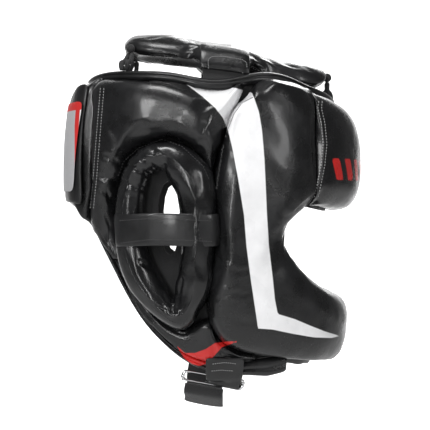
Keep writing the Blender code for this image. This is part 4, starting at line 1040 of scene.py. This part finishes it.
# The floor, the backdrop and the lights
FLOOR_HEIGHT = -0.62
FLOOR_RADIUS = 3.5
FLOOR_STEP = 10
FLOOR_GLOW = 0.12
BACKDROP_PLACE = 2.0
BACKDROP_HALF_WIDTH = 1.3
BACKDROP_TOP = 1.4
BACKDROP_GLOW = 1.0
STAGE_TONE = (0.88, 0.88, 0.88, 1.0)
STAGE_ROUGHNESS = 0.9
PLAIN_WHITE = (1.0, 1.0, 1.0, 1.0)
WORLD_STRENGTH = 0.16

# Each light: its name, its place, the place that it faces, its width and height, and its power
LIGHTS = (
    ("top", (-0.45, 0.22, 1.1), (0.0, 0.0, -0.05), (0.5, 0.4), 11.0),
    ("rear_side", (-1.2, 0.75, 0.45), (0.0, 0.0, -0.12), (0.3, 0.3), 7.0),
    ("front_side", (-1.2, -0.85, 0.25), (0.0, 0.0, -0.15), (0.22, 0.55), 4.5),
    ("camera_side", (-1.5, 0.42, 0.05), (0.0, 0.0, -0.15), (0.09, 0.7), 6.0),
    ("left_side", (1.2, -0.4, 0.9), (0.0, 0.0, -0.1), (0.6, 0.6), 10.0),
)


def make_stage(name, corners, glow):
    """A plain pale sheet that isn't part of the headgear."""
    mesh = bpy.data.meshes.new(name)
    mesh.from_pydata(corners, [], [tuple(range(len(corners)))])
    sheet = bpy.data.objects.new(name, mesh)
    bpy.context.scene.collection.objects.link(sheet)
    shade = Shade(name)
    shade.shader.inputs["Base Color"].default_value = STAGE_TONE
    shade.shader.inputs["Roughness"].default_value = STAGE_ROUGHNESS
    shade.shader.inputs["Specular IOR Level"].default_value = 0.0
    shade.shader.inputs["Emission Color"].default_value = PLAIN_WHITE
    shade.shader.inputs["Emission Strength"].default_value = glow
    mesh.materials.append(shade.done())


def make_light(name, place, target, size, power):
    """An area light that faces a place."""
    data = bpy.data.lights.new(name, "AREA")
    data.shape = "RECTANGLE"
    data.size, data.size_y = size
    data.energy = power
    light = bpy.data.objects.new(name, data)
    bpy.context.scene.collection.objects.link(light)
    light.location = place
    aim = Vector(target) - Vector(place)
    light.rotation_euler = aim.to_track_quat("-Z", "Y").to_euler()


floor_corners = []
for angle in range(0, 360, FLOOR_STEP):
    turn = math.radians(angle)
    floor_corners.append((FLOOR_RADIUS * math.cos(turn), FLOOR_RADIUS * math.sin(turn), FLOOR_HEIGHT))
make_stage("floor", floor_corners, FLOOR_GLOW)
make_stage("backdrop", [
    (BACKDROP_PLACE, -BACKDROP_HALF_WIDTH, FLOOR_HEIGHT),
    (BACKDROP_PLACE, BACKDROP_HALF_WIDTH, FLOOR_HEIGHT),
    (BACKDROP_PLACE, BACKDROP_HALF_WIDTH, BACKDROP_TOP),
    (BACKDROP_PLACE, -BACKDROP_HALF_WIDTH, BACKDROP_TOP),
], BACKDROP_GLOW)
for light in LIGHTS:
    make_light(*light)
world = bpy.data.worlds.new("studio")
bpy.context.scene.world = world
world.use_nodes = True
world.node_tree.nodes["Background"].inputs["Color"].default_value = PLAIN_WHITE
world.node_tree.nodes["Background"].inputs["Strength"].default_value = WORLD_STRENGTH
bpy.context.scene.view_settings.view_transform = "Standard"
